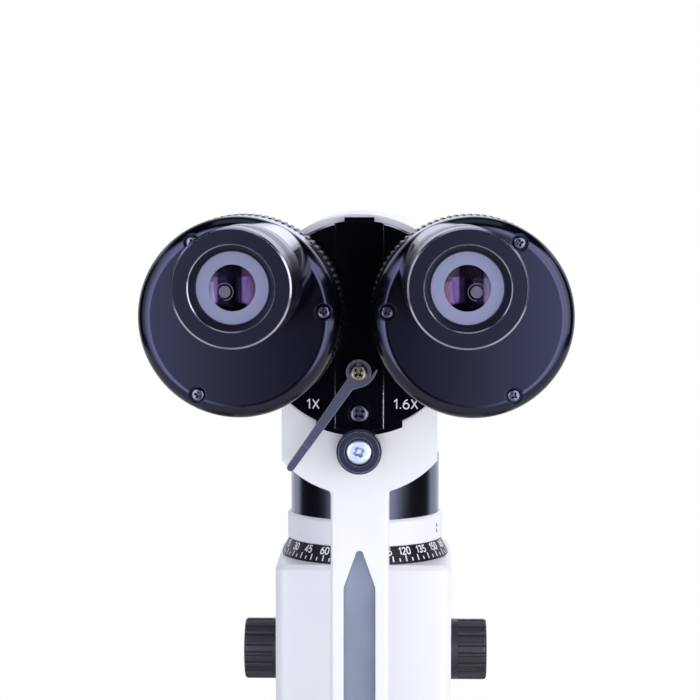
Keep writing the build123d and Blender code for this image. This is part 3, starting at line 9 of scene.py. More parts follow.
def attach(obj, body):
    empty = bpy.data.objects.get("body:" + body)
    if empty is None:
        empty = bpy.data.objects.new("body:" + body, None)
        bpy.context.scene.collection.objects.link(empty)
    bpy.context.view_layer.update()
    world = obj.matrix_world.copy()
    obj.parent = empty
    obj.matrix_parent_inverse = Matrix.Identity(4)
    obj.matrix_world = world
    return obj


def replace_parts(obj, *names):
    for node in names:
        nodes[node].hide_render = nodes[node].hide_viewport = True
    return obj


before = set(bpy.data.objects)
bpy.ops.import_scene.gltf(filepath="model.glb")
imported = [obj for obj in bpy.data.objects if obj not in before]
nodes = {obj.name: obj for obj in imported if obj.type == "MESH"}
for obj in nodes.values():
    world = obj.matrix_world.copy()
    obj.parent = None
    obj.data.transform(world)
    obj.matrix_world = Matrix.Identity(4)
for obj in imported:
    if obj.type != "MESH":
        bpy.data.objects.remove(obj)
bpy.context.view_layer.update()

MM = 0.001

# Places of the parts that the pieces here are fitted to, in millimetres
OPTIC_HEIGHT = 324.0
PLATE_Y = -156.6
TOWER_Y = -70.0
TOE_ANGLE = 2.8
COVER_X = 36.0
COVER_RISE = 6.0
COVER_FRONT = 48.85
GRIP_RADIUS = 30.9
GRIP_BORE = 29.22
GRIP_START = 15.2
GRIP_DEPTH = 12.0
GRIP_TEETH = 90
GRIP_TOOTH = 0.55
EYE_INWARD = 6.43
EYE_RISE = 12.6
LENS_BACK = 56.6
SCREW_CIRCLE = 26.4
SCREW_ANGLES = (4.0, 120.7, -117.0)
SCREW_SINK = 1.7
SCREW_SHANK = 1.45
SCREW_REACH = 4.0
PLATE_SCREW_DROP = 28.3
LEVER_DROP = 14.0
LEVER_FRONT = 9.3
THUMB_DROP = 40.2
THUMB_SEAT = 3.2
LABEL_DROP = 25.2
LABEL_X = 15.0
ARCH_TOP_DROP = 73.4
ARCH_HALF_WIDTH = 5.2
ARCH_DEPTH = 3.5
STEM_FRONT = PLATE_Y + 3.0
OPEN_GAP = 0.3
COLLAR_TOP = 252.0
COLLAR_HEIGHT = 9.3
CONE_TOP = COLLAR_TOP - COLLAR_HEIGHT - OPEN_GAP
CONE_HEIGHT = 5.7
CONE_TOP_RADIUS = 27.1
CONE_BASE_RADIUS = 29.6
CONE_LIP = 0.8
COLLAR_RADIUS = 27.6


# Finishes
BEVEL_SAMPLES = 4
NOISE_SPAN = (0.3, 0.7)
CHAMFER_SLOPES = (0.58, 0.64, 0.79, 0.84)
NO_COLOUR = (0, 0, 0)
FULL_COLOUR = (1, 1, 1)


def new_material(name):
    """Material with its node tree and its Principled shader."""
    mat = bpy.data.materials.new(name)
    mat.use_nodes = True
    shader = mat.node_tree.nodes["Principled BSDF"]
    return mat, mat.node_tree, shader


def put(node, **values):
    """Set input sockets of a node by name, with _ for a space."""
    for key, value in values.items():
        node.inputs[key.replace("_", " ")].default_value = value


def coordinate(tree, kind, axis):
    """One axis of a texture coordinate."""
    place = tree.nodes.new("ShaderNodeTexCoord")
    split = tree.nodes.new("ShaderNodeSeparateXYZ")
    tree.links.new(place.outputs[kind], split.inputs["Vector"])
    return split.outputs[axis]


def rescale(tree, source, start, end, low=0.0, high=1.0):
    """Map a value from start..end to low..high, held at both ends."""
    node = tree.nodes.new("ShaderNodeMapRange")
    put(node, From_Min=start, From_Max=end, To_Min=low, To_Max=high)
    tree.links.new(source, node.inputs["Value"])
    return node.outputs["Result"]


def compute(tree, operation, *sources):
    """Result of a maths node over one or two values."""
    node = tree.nodes.new("ShaderNodeMath")
    node.operation = operation
    for source, socket in zip(sources, node.inputs):
        tree.links.new(source, socket)
    return node.outputs[0]


def mix_shaders(tree, factor, first, second):
    """First shader where the factor is 0, second where it is 1."""
    node = tree.nodes.new("ShaderNodeMixShader")
    for source, socket in zip((factor, first, second), node.inputs):
        tree.links.new(source, socket)
    return node.outputs["Shader"]


def rounded_normal(tree, radius):
    """Normal of the surface with its sharp edges rounded by a radius."""
    soft = tree.nodes.new("ShaderNodeBevel")
    soft.samples = BEVEL_SAMPLES
    soft.inputs["Radius"].default_value = radius
    return soft.outputs["Normal"]


def noise(tree, scale, detail=3.0, stretch=(1, 1, 1)):
    """Noise in the object's own coordinates; scale is in features per metre."""
    place = tree.nodes.new("ShaderNodeTexCoord")
    mapping = tree.nodes.new("ShaderNodeMapping")
    mapping.inputs["Scale"].default_value = stretch
    tree.links.new(place.outputs["Object"], mapping.inputs["Vector"])
    tex = tree.nodes.new("ShaderNodeTexNoise")
    tex.inputs["Scale"].default_value = scale
    tex.inputs["Detail"].default_value = detail
    tree.links.new(mapping.outputs["Vector"], tex.inputs["Vector"])
    return tex.outputs["Fac"]


def ramp(tree, source, stops):
    """Colour ramp over a value, as (place, colour) stops."""
    node = tree.nodes.new("ShaderNodeValToRGB")
    band = node.color_ramp
    while len(band.elements) < len(stops):
        band.elements.new(0.5)
    for element, (at, colour) in zip(band.elements, stops):
        element.position = at
        element.color = (*colour, 1)
    tree.links.new(source, node.inputs["Fac"])
    return node.outputs["Color"]


def spread(tree, source, low, high):
    """Map a noise value's usual span to low..high."""
    return rescale(tree, source, *NOISE_SPAN, low, high)


def two_shades(tree, source, deep, colour):
    """Deep shade at the low end of a noise value's usual span, the colour at its high end."""
    return ramp(tree, source, tuple(zip(NOISE_SPAN, (deep, colour))))


def mix_colour(tree, factor, first, second, mode="MIX"):
    """First colour where the factor is 0, second where it is 1; each is a socket or a plain value."""
    node = tree.nodes.new("ShaderNodeMix")
    node.data_type = "RGBA"
    node.blend_type = mode
    for key, value in (("Factor", factor), ("A", first), ("B", second)):
        socket = node.inputs[key]
        if isinstance(value, bpy.types.NodeSocket):
            tree.links.new(value, socket)
        else:
            socket.default_value = value if isinstance(value, float) else (*value, 1)
    return node.outputs["Result"]


def specks(tree, scale, size):
    """Small grains: 1 inside a grain, 0 outside."""
    place = tree.nodes.new("ShaderNodeTexCoord")
    tex = tree.nodes.new("ShaderNodeTexVoronoi")
    tex.inputs["Scale"].default_value = scale
    tree.links.new(place.outputs["Object"], tex.inputs["Vector"])
    return rescale(tree, tex.outputs["Distance"], size, size * 0.6)


def relief(tree, shader, source, distance, strength=0.5, edge=0.0):
    """Bump from a value, over edges that are rounded by a small radius where the finish has one."""
    node = tree.nodes.new("ShaderNodeBump")
    put(node, Strength=strength, Distance=distance)
    tree.links.new(source, node.inputs["Height"])
    if edge:
        tree.links.new(rounded_normal(tree, edge), node.inputs["Normal"])
    tree.links.new(node.outputs["Normal"], shader.inputs["Normal"])


def edge_line(tree, radius, low=0.01, high=0.12):
    """1 along sharp edges within a radius, 0 on open faces."""
    point = tree.nodes.new("ShaderNodeNewGeometry")
    match = tree.nodes.new("ShaderNodeVectorMath")
    match.operation = "DOT_PRODUCT"
    tree.links.new(rounded_normal(tree, radius), match.inputs[0])
    tree.links.new(point.outputs["Normal"], match.inputs[1])
    return rescale(tree, match.outputs["Value"], 1 - low, 1 - high)


def chamfer_mask(tree):
    """1 on faces at about 45 degrees to the front, 0 elsewhere."""
    slope = compute(tree, "ABSOLUTE", coordinate(tree, "Normal", "Y"))
    levels = (NO_COLOUR, FULL_COLOUR, FULL_COLOUR, NO_COLOUR)
    return ramp(tree, slope, tuple(zip(CHAMFER_SLOPES, levels)))


def paint(name, colour, deep, rough, grain, height, sparkle=None, edge=0.0003, coat=0.0, specular=0.5,
          edge_highlight=None, tint=(1.0, 1.0, 1.0), bright=None):
    """Paint or plastic: two close shades, a fine orange peel, optional sparkle, an optional painted highlight
    along sharp edges, and an optional painted highlight on chamfers made bare metal.
    """
    mat, tree, shader = new_material(name)
    broad = noise(tree, 45, 4)
    fine = noise(tree, grain, 2)
    tone = two_shades(tree, broad, deep, colour)
    if sparkle:
        tone = mix_colour(tree, specks(tree, sparkle[0], sparkle[1]), tone, sparkle[2])
    if edge_highlight:
        # Painted highlight: a lighter colour along sharp edges, for the highlights that light draws on them
        tone = mix_colour(tree, edge_line(tree, edge), tone, edge_highlight)
    if bright:
        # Painted highlight: a bright colour on faces at about 45 degrees to the front, made bare metal there,
        # for the glints that chamfers catch
        painted_chamfer_highlight = chamfer_mask(tree)
        tone = mix_colour(tree, painted_chamfer_highlight, tone, bright)
        tree.links.new(painted_chamfer_highlight, shader.inputs["Metallic"])
    tree.links.new(tone, shader.inputs["Base Color"])
    tree.links.new(spread(tree, fine, rough[0], rough[1]), shader.inputs["Roughness"])
    relief(tree, shader, fine, height, 0.5, edge)
    put(shader, Coat_Weight=coat, Coat_Roughness=0.08, Specular_IOR_Level=specular, Specular_Tint=(*tint, 1))
    return mat


def metal(name, colour, deep, rough, stretch, grain=900, height=0.00001, edge=0.00025):
    """Machined metal with fine tool lines."""
    mat, tree, shader = new_material(name)
    lines = noise(tree, grain, 4, stretch)
    blotch = noise(tree, 130, 3)
    tree.links.new(two_shades(tree, blotch, deep, colour), shader.inputs["Base Color"])
    tree.links.new(spread(tree, lines, rough[0], rough[1]), shader.inputs["Roughness"])
    relief(tree, shader, lines, height, 0.4, edge)
    put(shader, Metallic=1.0)
    return mat


def glass(name, colour, alpha, coat=1.0, edge_tint=None, specular=0.8):
    """Coated glass over a dark inside: part see-through, with a clear reflection."""
    mat, tree, shader = new_material(name)
    cloud = noise(tree, 260, 2)
    tone = ramp(tree, cloud, ((0.35, tuple(c * 0.7 for c in colour)), (0.65, colour)))
    tree.links.new(tone, shader.inputs["Base Color"])
    tree.links.new(spread(tree, cloud, 0.02, 0.05), shader.inputs["Roughness"])
    put(shader, Alpha=alpha, Coat_Weight=coat, Coat_Roughness=0.02, Specular_IOR_Level=specular)
    if edge_tint:
        put(shader, Specular_Tint=(*edge_tint, 1), Coat_Tint=(*edge_tint, 1))
    return mat


SATIN_BLACK = paint("satin_black_paint", (0.0024, 0.0027, 0.0054), (0.0018, 0.002, 0.004), (0.12, 0.15),
                    3200, 0.000005, sparkle=(2600, 0.07, (0.008, 0.008, 0.014)), edge=0.0005,
                    tint=(0.72, 0.73, 1.0))
TUBE_BLACK = paint("tube_black_lacquer", (0.004, 0.004, 0.009), (0.003, 0.003, 0.006), (0.07, 0.10), 2200,
                   0.000002, edge=0.0003, tint=(0.8, 0.82, 1.0))
# Eyepiece rim: a painted highlight on its chamfers
RIM_BLACK = paint("rim_black_anodised", (0.004, 0.004, 0.009), (0.003, 0.003, 0.007), (0.2, 0.26), 3000,
                  0.00001, edge=0.0001, specular=0.22, tint=(0.8, 0.82, 1.0), bright=(0.42, 0.42, 0.5))
DRUM_BLACK = paint("drum_black_anodised", (0.004, 0.004, 0.006), (0.003, 0.003, 0.005), (0.13, 0.19), 2600,
                   0.00001, edge=0.0004, coat=0.5, specular=0.9, tint=(0.85, 0.87, 1.0))
# Front plate: a painted highlight on its chamfers
PLATE_BLACK = paint("plate_gloss_black", (0.0012, 0.0012, 0.003), (0.0008, 0.0008, 0.002), (0.12, 0.18),
                    2400, 0.00001, sparkle=(1900, 0.10, (0.014, 0.015, 0.024)), edge=0.0003, specular=0.3,
                    tint=(0.8, 0.82, 1.0), bright=(0.6, 0.6, 0.7))
# Lever: a painted highlight along its sharp edges
LEVER_BLACK = paint("lever_grey_black", (0.062, 0.066, 0.118), (0.044, 0.047, 0.088), (0.28, 0.38), 2200,
                    0.00002, edge=0.00035, edge_highlight=(0.55, 0.56, 0.68))
# Knob: a painted highlight along its sharp edges
KNOB_BLACK = paint("knob_gloss_black", (0.040, 0.044, 0.085), (0.030, 0.033, 0.065), (0.12, 0.2), 2200,
                   0.00001, sparkle=(1500, 0.16, (0.12, 0.12, 0.2)), edge=0.0003, edge_highlight=(0.45, 0.47, 0.55))
SCALE_BLACK = paint("scale_black", (0.003, 0.003, 0.007), (0.002, 0.002, 0.005), (0.26, 0.34), 2400,
                    0.00001, edge=0.0003, specular=0.3)
WHITE = paint("white_satin_paint", (0.85, 0.855, 0.875), (0.83, 0.835, 0.86), (0.30, 0.40), 1800,
              0.00003, edge=0.0006)
GREY_PAINT = paint("rail_grey_paint", (0.48, 0.49, 0.52), (0.42, 0.43, 0.46), (0.42, 0.55), 1300,
                   0.00008, edge=0.0006)
GREY_RING = paint("ring_grey_plastic", (0.205, 0.215, 0.33), (0.185, 0.195, 0.30), (0.42, 0.52), 2600,
                  0.00001, edge=0.0002)
BLACK_PLASTIC = paint("knob_black_plastic", (0.018, 0.018, 0.021), (0.012, 0.012, 0.014), (0.38, 0.5), 1500,
                      0.00004, edge=0.0004)
# Painted shade: a grey for the shade inside the stem's recess, laid on a sheet at its floor
RECESS_SHADE = paint("recess_painted_shade", (0.26, 0.29, 0.38), (0.20, 0.225, 0.30), (0.4, 0.5), 1500, 0.00003)
MARK_WHITE = paint("mark_white_ink", (0.88, 0.88, 0.9), (0.8, 0.8, 0.83), (0.45, 0.55), 2600,
                   0.000005, edge=0.0)
MARK_GREY = paint("mark_grey_ink", (0.2, 0.2, 0.23), (0.14, 0.14, 0.17), (0.45, 0.55), 2600,
                  0.000005, edge=0.0)
NICKEL = metal("nickel_plate", (0.55, 0.55, 0.56), (0.42, 0.42, 0.44), (0.16, 0.3), (1, 1, 6))
ZINC = metal("zinc_plate", (0.62, 0.66, 0.72), (0.36, 0.41, 0.50), (0.3, 0.5), (1, 1, 1), 900, 0.00003)
BRASS = metal("brass_tinted", (0.30, 0.26, 0.17), (0.16, 0.14, 0.1), (0.2, 0.34), (1, 1, 5))
STEEL = metal("machined_steel", (0.50, 0.50, 0.52), (0.38, 0.38, 0.40), (0.2, 0.36), (1, 1, 22))
LENS_GLASS = glass("coated_lens", (0.004, 0.003, 0.008), 0.25, coat=0.0, edge_tint=(0.7, 0.6, 1.0),
                   specular=0.12)
DARK_NICKEL = metal("dark_nickel_plate", (0.12, 0.12, 0.15), (0.06, 0.06, 0.08), (0.18, 0.3), (1, 1, 6))


# Painted reflections inside the eyepiece: violet bands with dark between them, on a metal bowl
FIELD_DARK = (0.002, 0.0015, 0.004)
FIELD_HAZE = (0.04, 0.02, 0.05)
PAINTED_REFLECTION_STOPS = ((0.12, (0.30, 0.24, 0.36)), (0.17, (0.2, 0.16, 0.26)), (0.2, FIELD_DARK),
                 (0.6, FIELD_DARK), (0.64, (0.16, 0.11, 0.24)), (0.85, (0.24, 0.12, 0.22)))


def field_glass(name, outer, inner):
    """Rear surface of the eyepiece optics: painted violet reflections in bands, weaker over the middle of the
    lens.
    """
    mat, tree, shader = new_material(name)
    span = rescale(tree, coordinate(tree, "Generated", "X"), outer, inner)
    # Painted reflection: violet bands across the lens
    coat = ramp(tree, span, PAINTED_REFLECTION_STOPS)
    tint = mix_colour(tree, spread(tree, noise(tree, 300, 2), 0.0, 0.4), coat, FIELD_HAZE)
    tree.links.new(tint, shader.inputs["Base Color"])
    tree.links.new(spread(tree, noise(tree, 500, 2), 0.03, 0.06), shader.inputs["Roughness"])
    put(shader, Metallic=1.0)
    return mat


FIELD_REFLECTIONS_PAINTED = {-1: field_glass("left_field_reflection_paint", 0.0, 1.0),
               1: field_glass("right_field_reflection_paint", 1.0, 0.0)}
# Painted light: a grey disc that glows, for the light seen through the eyepiece at its exit pupil
EXIT_PUPIL_GLOW = paint("exit_pupil_glow_paint", (0.20, 0.20, 0.26), (0.16, 0.16, 0.21), (0.3, 0.4), 2600,
                  0.000005, edge=0.0)
put(EXIT_PUPIL_GLOW.node_tree.nodes["Principled BSDF"], Emission_Color=(0.24, 0.24, 0.31, 1),
    Emission_Strength=0.6)
FRONT_GLASS = glass("objective_glass", (0.02, 0.012, 0.045), 0.9, edge_tint=(0.6, 0.45, 1.0))
CLEAR_GLASS = glass("lamp_glass", (0.55, 0.57, 0.6), 0.35)
PRISM_GLASS = glass("prism_glass", (0.30, 0.2, 0.45), 0.7, edge_tint=(0.75, 0.6, 1.0))


def dress(name, finish):
    """Give a node of the frame its only material."""
    nodes[name].data.materials.clear()
    nodes[name].data.materials.append(finish)


PAIR_FINISHES = {
    SATIN_BLACK: ("prism_housing", "housing_cover"),
    TUBE_BLACK: ("eyepiece_tube",),
    RIM_BLACK: ("dioptre_ring",),
    GREY_RING: ("retaining_ring",),
    STEEL: ("hinge_hub",),
    PRISM_GLASS: ("prism",),
    LENS_GLASS: ("eye_lens",),
}
SINGLE_FINISHES = {
    DRUM_BLACK: ("slit_drum", "prism_head", "objective_ring"),
    PLATE_BLACK: ("front_plate",),
    LEVER_BLACK: ("changer_lever",),
    KNOB_BLACK: ("thumb_knob",),
    SCALE_BLACK: ("graduated_ring",),
    WHITE: ("microscope_body", "drum_collar", "slit_block", "lamp_house", "microscope_arm",
            "illumination_arm", "base_housing"),
    GREY_PAINT: ("rail_plate", "rail_covers"),
    BLACK_PLASTIC: ("width_knobs", "lock_knob", "brightness_knob", "height_ring", "joystick_shaft"),
    FRONT_GLASS: ("objective_lens", "carrier_lenses"),
    PRISM_GLASS: ("head_prism",),
    CLEAR_GLASS: ("lamp_bulb",),
    NICKEL: ("pivot_shaft",),
    BRASS: ("lens_carrier",),
    STEEL: ("lever_spindle", "cross_axle", "drive_pinions", "toothed_rails", "carrier_bar", "column_post",
            "column_sleeve", "lift_screw", "joystick_ball"),
}
for finish, parts in PAIR_FINISHES.items():
    for part in parts:
        dress("left_" + part, finish)
        dress("right_" + part, finish)
for finish, parts in SINGLE_FINISHES.items():
    for part in parts:
        dress(part, finish)


# Mesh helpers
def piece(name, mesh, finish, body):
    """Link a mesh as a piece that rides on a body."""
    thing = bpy.data.objects.new(name, mesh)
    bpy.context.scene.collection.objects.link(thing)
    thing.data.materials.clear()
    thing.data.materials.append(finish)
    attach(thing, body)
    return thing


def frame_at(origin, normal, up=(0, 0, 1)):
    """Matrix with Z along normal and Y towards up, at a place in millimetres."""
    z = Vector(normal).normalized()
    x = Vector(up).cross(z).normalized()
    y = z.cross(x)
    turn = Matrix((x, y, z)).transposed().to_4x4()
    return Matrix.Translation(Vector(origin) * MM) @ turn @ Matrix.Scale(MM, 4)


def spun(outline, around=64, shift=0.0):
    """bmesh of a profile of (radius, height) turned round Z."""
    bm = bmesh.new()
    rings = []
    for radius, height in outline:
        if radius < 1e-6:
            rings.append([bm.verts.new((0, 0, height))])
            continue
        ring = []
        for index in range(around):
            angle = 2 * math.pi * (index + shift) / around
            ring.append(bm.verts.new((radius * math.cos(angle), radius * math.sin(angle), height)))
        rings.append(ring)
    for low, high in zip(rings, rings[1:]):
        for index in range(around):
            after = (index + 1) % around
            corners = [low[index % len(low)], low[after % len(low)], high[after % len(high)],
                       high[index % len(high)]]
            unique = list(dict.fromkeys(corners))
            if len(unique) > 2:
                bm.faces.new(unique)
    return bm


def to_mesh(bm, name, place, smooth_angle=35):
    """Mesh from a bmesh, moved to its place, smooth but for edges over an angle in degrees."""
    bmesh.ops.recalc_face_normals(bm, faces=bm.faces)
    for face in bm.faces:
        face.smooth = True
    for edge in bm.edges:
        if len(edge.link_faces) == 2 and edge.calc_face_angle(0) > math.radians(smooth_angle):
            edge.smooth = False
    mesh = bpy.data.meshes.new(name)
    bm.transform(place)
    bm.to_mesh(mesh)
    bm.free()
    return mesh


def prism_between(upper, lower):
    """bmesh of a solid between two outlines of as many points."""
    bm = bmesh.new()
    top = [bm.verts.new(point) for point in upper]
    foot = [bm.verts.new(point) for point in lower]
    bm.faces.new(top)
    bm.faces.new(list(reversed(foot)))
    for index in range(len(top)):
        after = (index + 1) % len(top)
        bm.faces.new((foot[index], foot[after], top[after], top[index]))
    return bm


def scratch_object(bm, name):
    """Object from a bmesh, linked for a boolean and deleted after it."""
    bmesh.ops.recalc_face_normals(bm, faces=bm.faces)
    mesh = bpy.data.meshes.new(name)
    bm.to_mesh(mesh)
    bm.free()
    thing = bpy.data.objects.new(name, mesh)
    bpy.context.scene.collection.objects.link(thing)
    return thing


def cross_outline(half, wide):
    """Cross with arms of a half length and a half width, its inner corners cut back."""
    corner = wide * 1.3
    quarter = [(half, -wide), (half, wide), (corner, corner)]
    outline = []
    for turn in range(4):
        outline += quarter
        quarter = [(-y, x) for x, y in quarter]
    return outline


def cross_screw(radius, height, place, recess):
    """Pan head with a tapered cross recess, standing on its seat at the place's origin."""
    outline = [(SCREW_SHANK, -SCREW_REACH), (SCREW_SHANK, 0.0), (radius, 0.0), (radius, height * 0.35)]
    for step in range(1, 7):
        angle = math.pi / 2 * step / 6
        bulge = radius * (0.62 + 0.38 * math.cos(angle))
        outline.append((bulge, height * (0.35 + 0.6 * math.sin(angle))))
    outline.append((0.0, height))
    cross = cross_outline(radius * recess, radius * 0.14)
    depth = height * 1.05
    upper = [(x * 1.06, y * 1.06, height + 0.3) for x, y in cross]
    lower = [(x * 0.45, y * 0.45, height - depth) for x, y in cross]
    blank = scratch_object(spun(outline, 48), "screw_blank")
    cutter = scratch_object(prism_between(upper, lower), "screw_cutter")
    cut = blank.modifiers.new("recess", "BOOLEAN")
    cut.operation = "DIFFERENCE"
    cut.solver = "EXACT"
    cut.object = cutter
    graph = bpy.context.evaluated_depsgraph_get()
    result = bpy.data.meshes.new_from_object(blank.evaluated_get(graph))
    bpy.data.objects.remove(blank)
    bpy.data.objects.remove(cutter)
    bm = bmesh.new()
    bm.from_mesh(result)
    bm.transform(place)
    return bm


def joined(parts, name):
    """One mesh from several bmeshes that are already in place."""
    whole = bmesh.new()
    for part in parts:
        scratch = bpy.data.meshes.new("scratch")
        part.to_mesh(scratch)
        part.free()
        whole.from_mesh(scratch)
        bpy.data.meshes.remove(scratch)
    return to_mesh(whole, name, Matrix.Identity(4), 30)


def half_frame(side):
    """Frame of one eyepiece half: origin at the cover's front, Z towards the operator, Y up."""
    toe = math.radians(TOE_ANGLE)
    origin = (side * COVER_X, PLATE_Y - COVER_FRONT, OPTIC_HEIGHT + COVER_RISE)
    return frame_at(origin, (side * math.sin(toe), -math.cos(toe), 0))


def front_frame(x, drop, y):
    """Frame on the front of the head, drop below the optical axis."""
    return frame_at((x, y, OPTIC_HEIGHT - drop), (0, -1, 0))


# Screws: head radius, head height, and the share of the radius that the cross takes
COVER_HEAD = (2.1, 1.25, 0.55)
PLATE_HEAD = (3.3, 1.5, 0.6)
LEVER_HEAD = (2.9, 1.4, 0.6)
THUMB_HEAD = (4.4, 1.8, 0.42)
PLATE_SEAT = 1.4
PLATE_SCREW_TURN = 0.7
LEVER_SCREW_TURN = 0.75
THUMB_SCREW_TURN = 0.5


def screws(name, head, places, finish, body, stands_for):
    """One piece of cross-head screws that replaces a node."""
    radius, height, recess = head
    heads = [cross_screw(radius, height, place, recess) for place in places]
    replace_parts(piece(name, joined(heads, name), finish, body), stands_for)


def cover_screw_places(side):
    """Seats of the three cover screws of one eyepiece half."""
    for angle in SCREW_ANGLES:
        turn = math.radians(angle if side < 0 else 180 - angle)
        spot = Matrix.Translation((SCREW_CIRCLE * math.cos(turn), SCREW_CIRCLE * math.sin(turn), -SCREW_SINK))
        yield half_frame(side) @ spot @ Matrix.Rotation(turn * 1.7, 4, "Z")


def front_screw_place(drop, y, turn):
    """Seat of a screw on the middle of the head's front, turned about its axis."""
    return front_frame(0, drop, y) @ Matrix.Rotation(turn, 4, "Z")


for name, side in (("left", -1), ("right", 1)):
    screws(f"{name}_cover_cross_screws", COVER_HEAD, cover_screw_places(side), DARK_NICKEL,
           f"{name}_half", f"{name}_cover_screws")
screws("plate_cross_screw", PLATE_HEAD,
       [front_screw_place(PLATE_SCREW_DROP, PLATE_Y + PLATE_SEAT, PLATE_SCREW_TURN)],
       DARK_NICKEL, "microscope", "plate_screw")
screws("lever_cross_screw", LEVER_HEAD,
       [front_screw_place(LEVER_DROP, PLATE_Y - LEVER_FRONT, LEVER_SCREW_TURN)],
       BRASS, "changer_lever", "lever_screw")
screws("thumb_cross_screw", THUMB_HEAD,
       [front_screw_place(THUMB_DROP, PLATE_Y - THUMB_SEAT, THUMB_SCREW_TURN)],
       ZINC, "thumb_knob", "thumb_screw")


# Printed marks
def arc(x, y, wide, tall, start, end, steps=10):
    """Points of part of an ellipse between two angles in degrees."""
    points = []
    for step in range(steps + 1):
        angle = math.radians(start + (end - start) * step / steps)
        points.append((x + wide * math.cos(angle), y + tall * math.sin(angle)))
    return points


# Each letter: its width and its strokes, as shares of the letters' height
HOOK = [(0.0, 0.30), (0.04, 0.56), (0.17, 0.82), (0.42, 1.0)]
GLYPHS = {
    "0": (0.56, [arc(0.28, 0.70, 0.28, 0.30, 0, 180) + arc(0.28, 0.30, 0.28, 0.30, 180, 360)
                 + [(0.56, 0.70)]]),
    "1": (0.34, [[(0.02, 0.76), (0.26, 1.0), (0.26, 0.0)]]),
    "2": (0.56, [arc(0.27, 0.72, 0.27, 0.28, 165, -35) + [(0.0, 0.0), (0.58, 0.0)]]),
    "3": (0.54, [arc(0.25, 0.745, 0.25, 0.255, 150, -80) + arc(0.25, 0.27, 0.29, 0.27, 80, -150)]),
    "4": (0.60, [[(0.44, 0.0), (0.44, 1.0), (0.0, 0.28), (0.6, 0.28)]]),
    "5": (0.56, [[(0.50, 1.0), (0.10, 1.0), (0.05, 0.56)] + arc(0.26, 0.31, 0.29, 0.31, 120, -145)]),
    "6": (0.56, [arc(0.28, 0.30, 0.28, 0.30, 180, 540, 18), HOOK]),
    "7": (0.54, [[(0.0, 1.0), (0.54, 1.0), (0.18, 0.0)]]),
    "8": (0.56, [arc(0.28, 0.755, 0.23, 0.245, -90, 270, 18),
                 arc(0.28, 0.255, 0.28, 0.255, 90, 450, 18)]),
    "9": (0.56, [[(0.56 - x, 1.0 - y) for x, y in arc(0.28, 0.30, 0.28, 0.30, 180, 540, 18)],
                 [(0.56 - x, 1.0 - y) for x, y in HOOK]]),
    "X": (0.62, [[(0.0, 0.0), (0.62, 1.0)], [(0.0, 1.0), (0.62, 0.0)]]),
    ".": (0.10, [[(0.05, 0.0), (0.05, 0.13)]]),
}
GLYPH_SPACE = 0.24
STROKE_STEP = 0.004
PRINT_SINK = -0.02
PRINT_LIFT = 0.03


def ribbon(bm, points, thick, lift):
    """Strip of constant width along a line of points."""
    rims = []
    for index, (x, y) in enumerate(points):
        before = points[max(index - 1, 0)]
        after = points[min(index + 1, len(points) - 1)]
        first = Vector((x - before[0], y - before[1]))
        second = Vector((after[0] - x, after[1] - y))
        first = first.normalized() if first.length else second.normalized()
        second = second.normalized() if second.length else first
        along = (first + second).normalized()
        side = Vector((-along.y, along.x))
        widen = 1 / max(0.5, abs(side.dot(Vector((-first.y, first.x)))))
        push = side * (thick / 2 * widen)
        left = bm.verts.new((x + push.x, y + push.y, lift))
        right = bm.verts.new((x - push.x, y - push.y, lift))
        rims.append((left, right))
    for low, high in zip(rims, rims[1:]):
        bm.faces.new((low[0], low[1], high[1], high[0]))


def text_mesh(words, height, narrow, thick):
    """Flat single-stroke letters centred on the origin in the XY plane, in millimetres."""
    bm = bmesh.new()
    reach = sum(GLYPHS[letter][0] for letter in words) + GLYPH_SPACE * (len(words) - 1)
    start = -reach / 2
    layer = 0
    for letter in words:
        width, strokes = GLYPHS[letter]
        for stroke in strokes:
            points = [((start + x) * height * narrow, (y - 0.5) * (height - thick)) for x, y in stroke]
            ribbon(bm, points, thick, STROKE_STEP * layer)
            layer += 1
        start += width + GLYPH_SPACE
    return bm


def thicken(bm):
    """Double a flat print, and return the corners of its upper face."""
    solid = bmesh.ops.extrude_face_region(bm, geom=bm.faces[:])
    return {v for v in solid["geom"] if isinstance(v, bmesh.types.BMVert)}


def flat_mark(bm, place, lift=PRINT_LIFT):
    """Lay letters on a flat face as a thin raised print."""
    for v in thicken(bm):
        v.co.z += lift
    bm.transform(place)
    return bm


LABEL_Y = PLATE_Y + 1.0
LABEL_HEIGHT = 3.4
LABEL_NARROW = 0.95
LABEL_STROKE = 0.4
labels = []
for words, x in (("1X", -LABEL_X), ("1.6X", LABEL_X)):
    letters = text_mesh(words, LABEL_HEIGHT, LABEL_NARROW, LABEL_STROKE)
    labels.append(flat_mark(letters, front_frame(x, LABEL_DROP, LABEL_Y)))
piece("magnification_labels", joined(labels, "magnification_labels"), MARK_WHITE, "microscope")


def on_tower(radius, angle, height):
    """Point round the lamp tower's axis: angle from the front in radians."""
    return Vector((radius * math.sin(angle), TOWER_Y - radius * math.cos(angle), height)) * MM


def on_cone(angle, along, lift):
    """Point on the graduated cone: angle from the front in radians, along from its lip upwards."""
    slant = CONE_HEIGHT - CONE_LIP
    share = along / slant
    radius = CONE_BASE_RADIUS + (CONE_TOP_RADIUS - CONE_BASE_RADIUS) * share + lift
    return on_tower(radius, angle, CONE_TOP - CONE_HEIGHT + CONE_LIP + along)


def wrap_on_cone(bm, centre_angle, centre_along):
    """Bend a flat print round the graduated cone."""
    long_edges = [edge for edge in bm.edges if edge.calc_length() > LONGEST_EDGE]
    bmesh.ops.subdivide_edges(bm, edges=long_edges, cuts=2)
    raised = thicken(bm)
    for v in bm.verts:
        angle = centre_angle + v.co.x / PRINT_RADIUS
        v.co = on_cone(angle, centre_along + v.co.y, CONE_PRINT_LIFT if v in raised else PRINT_SINK)
    return bm


def bar(width, height):
    """Flat rectangle centred on the origin."""
    bm = bmesh.new()
    signs = ((-1, -1), (1, -1), (1, 1), (-1, 1))
    bm.faces.new([bm.verts.new((x * width / 2, y * height / 2, 0)) for x, y in signs])
    return bm


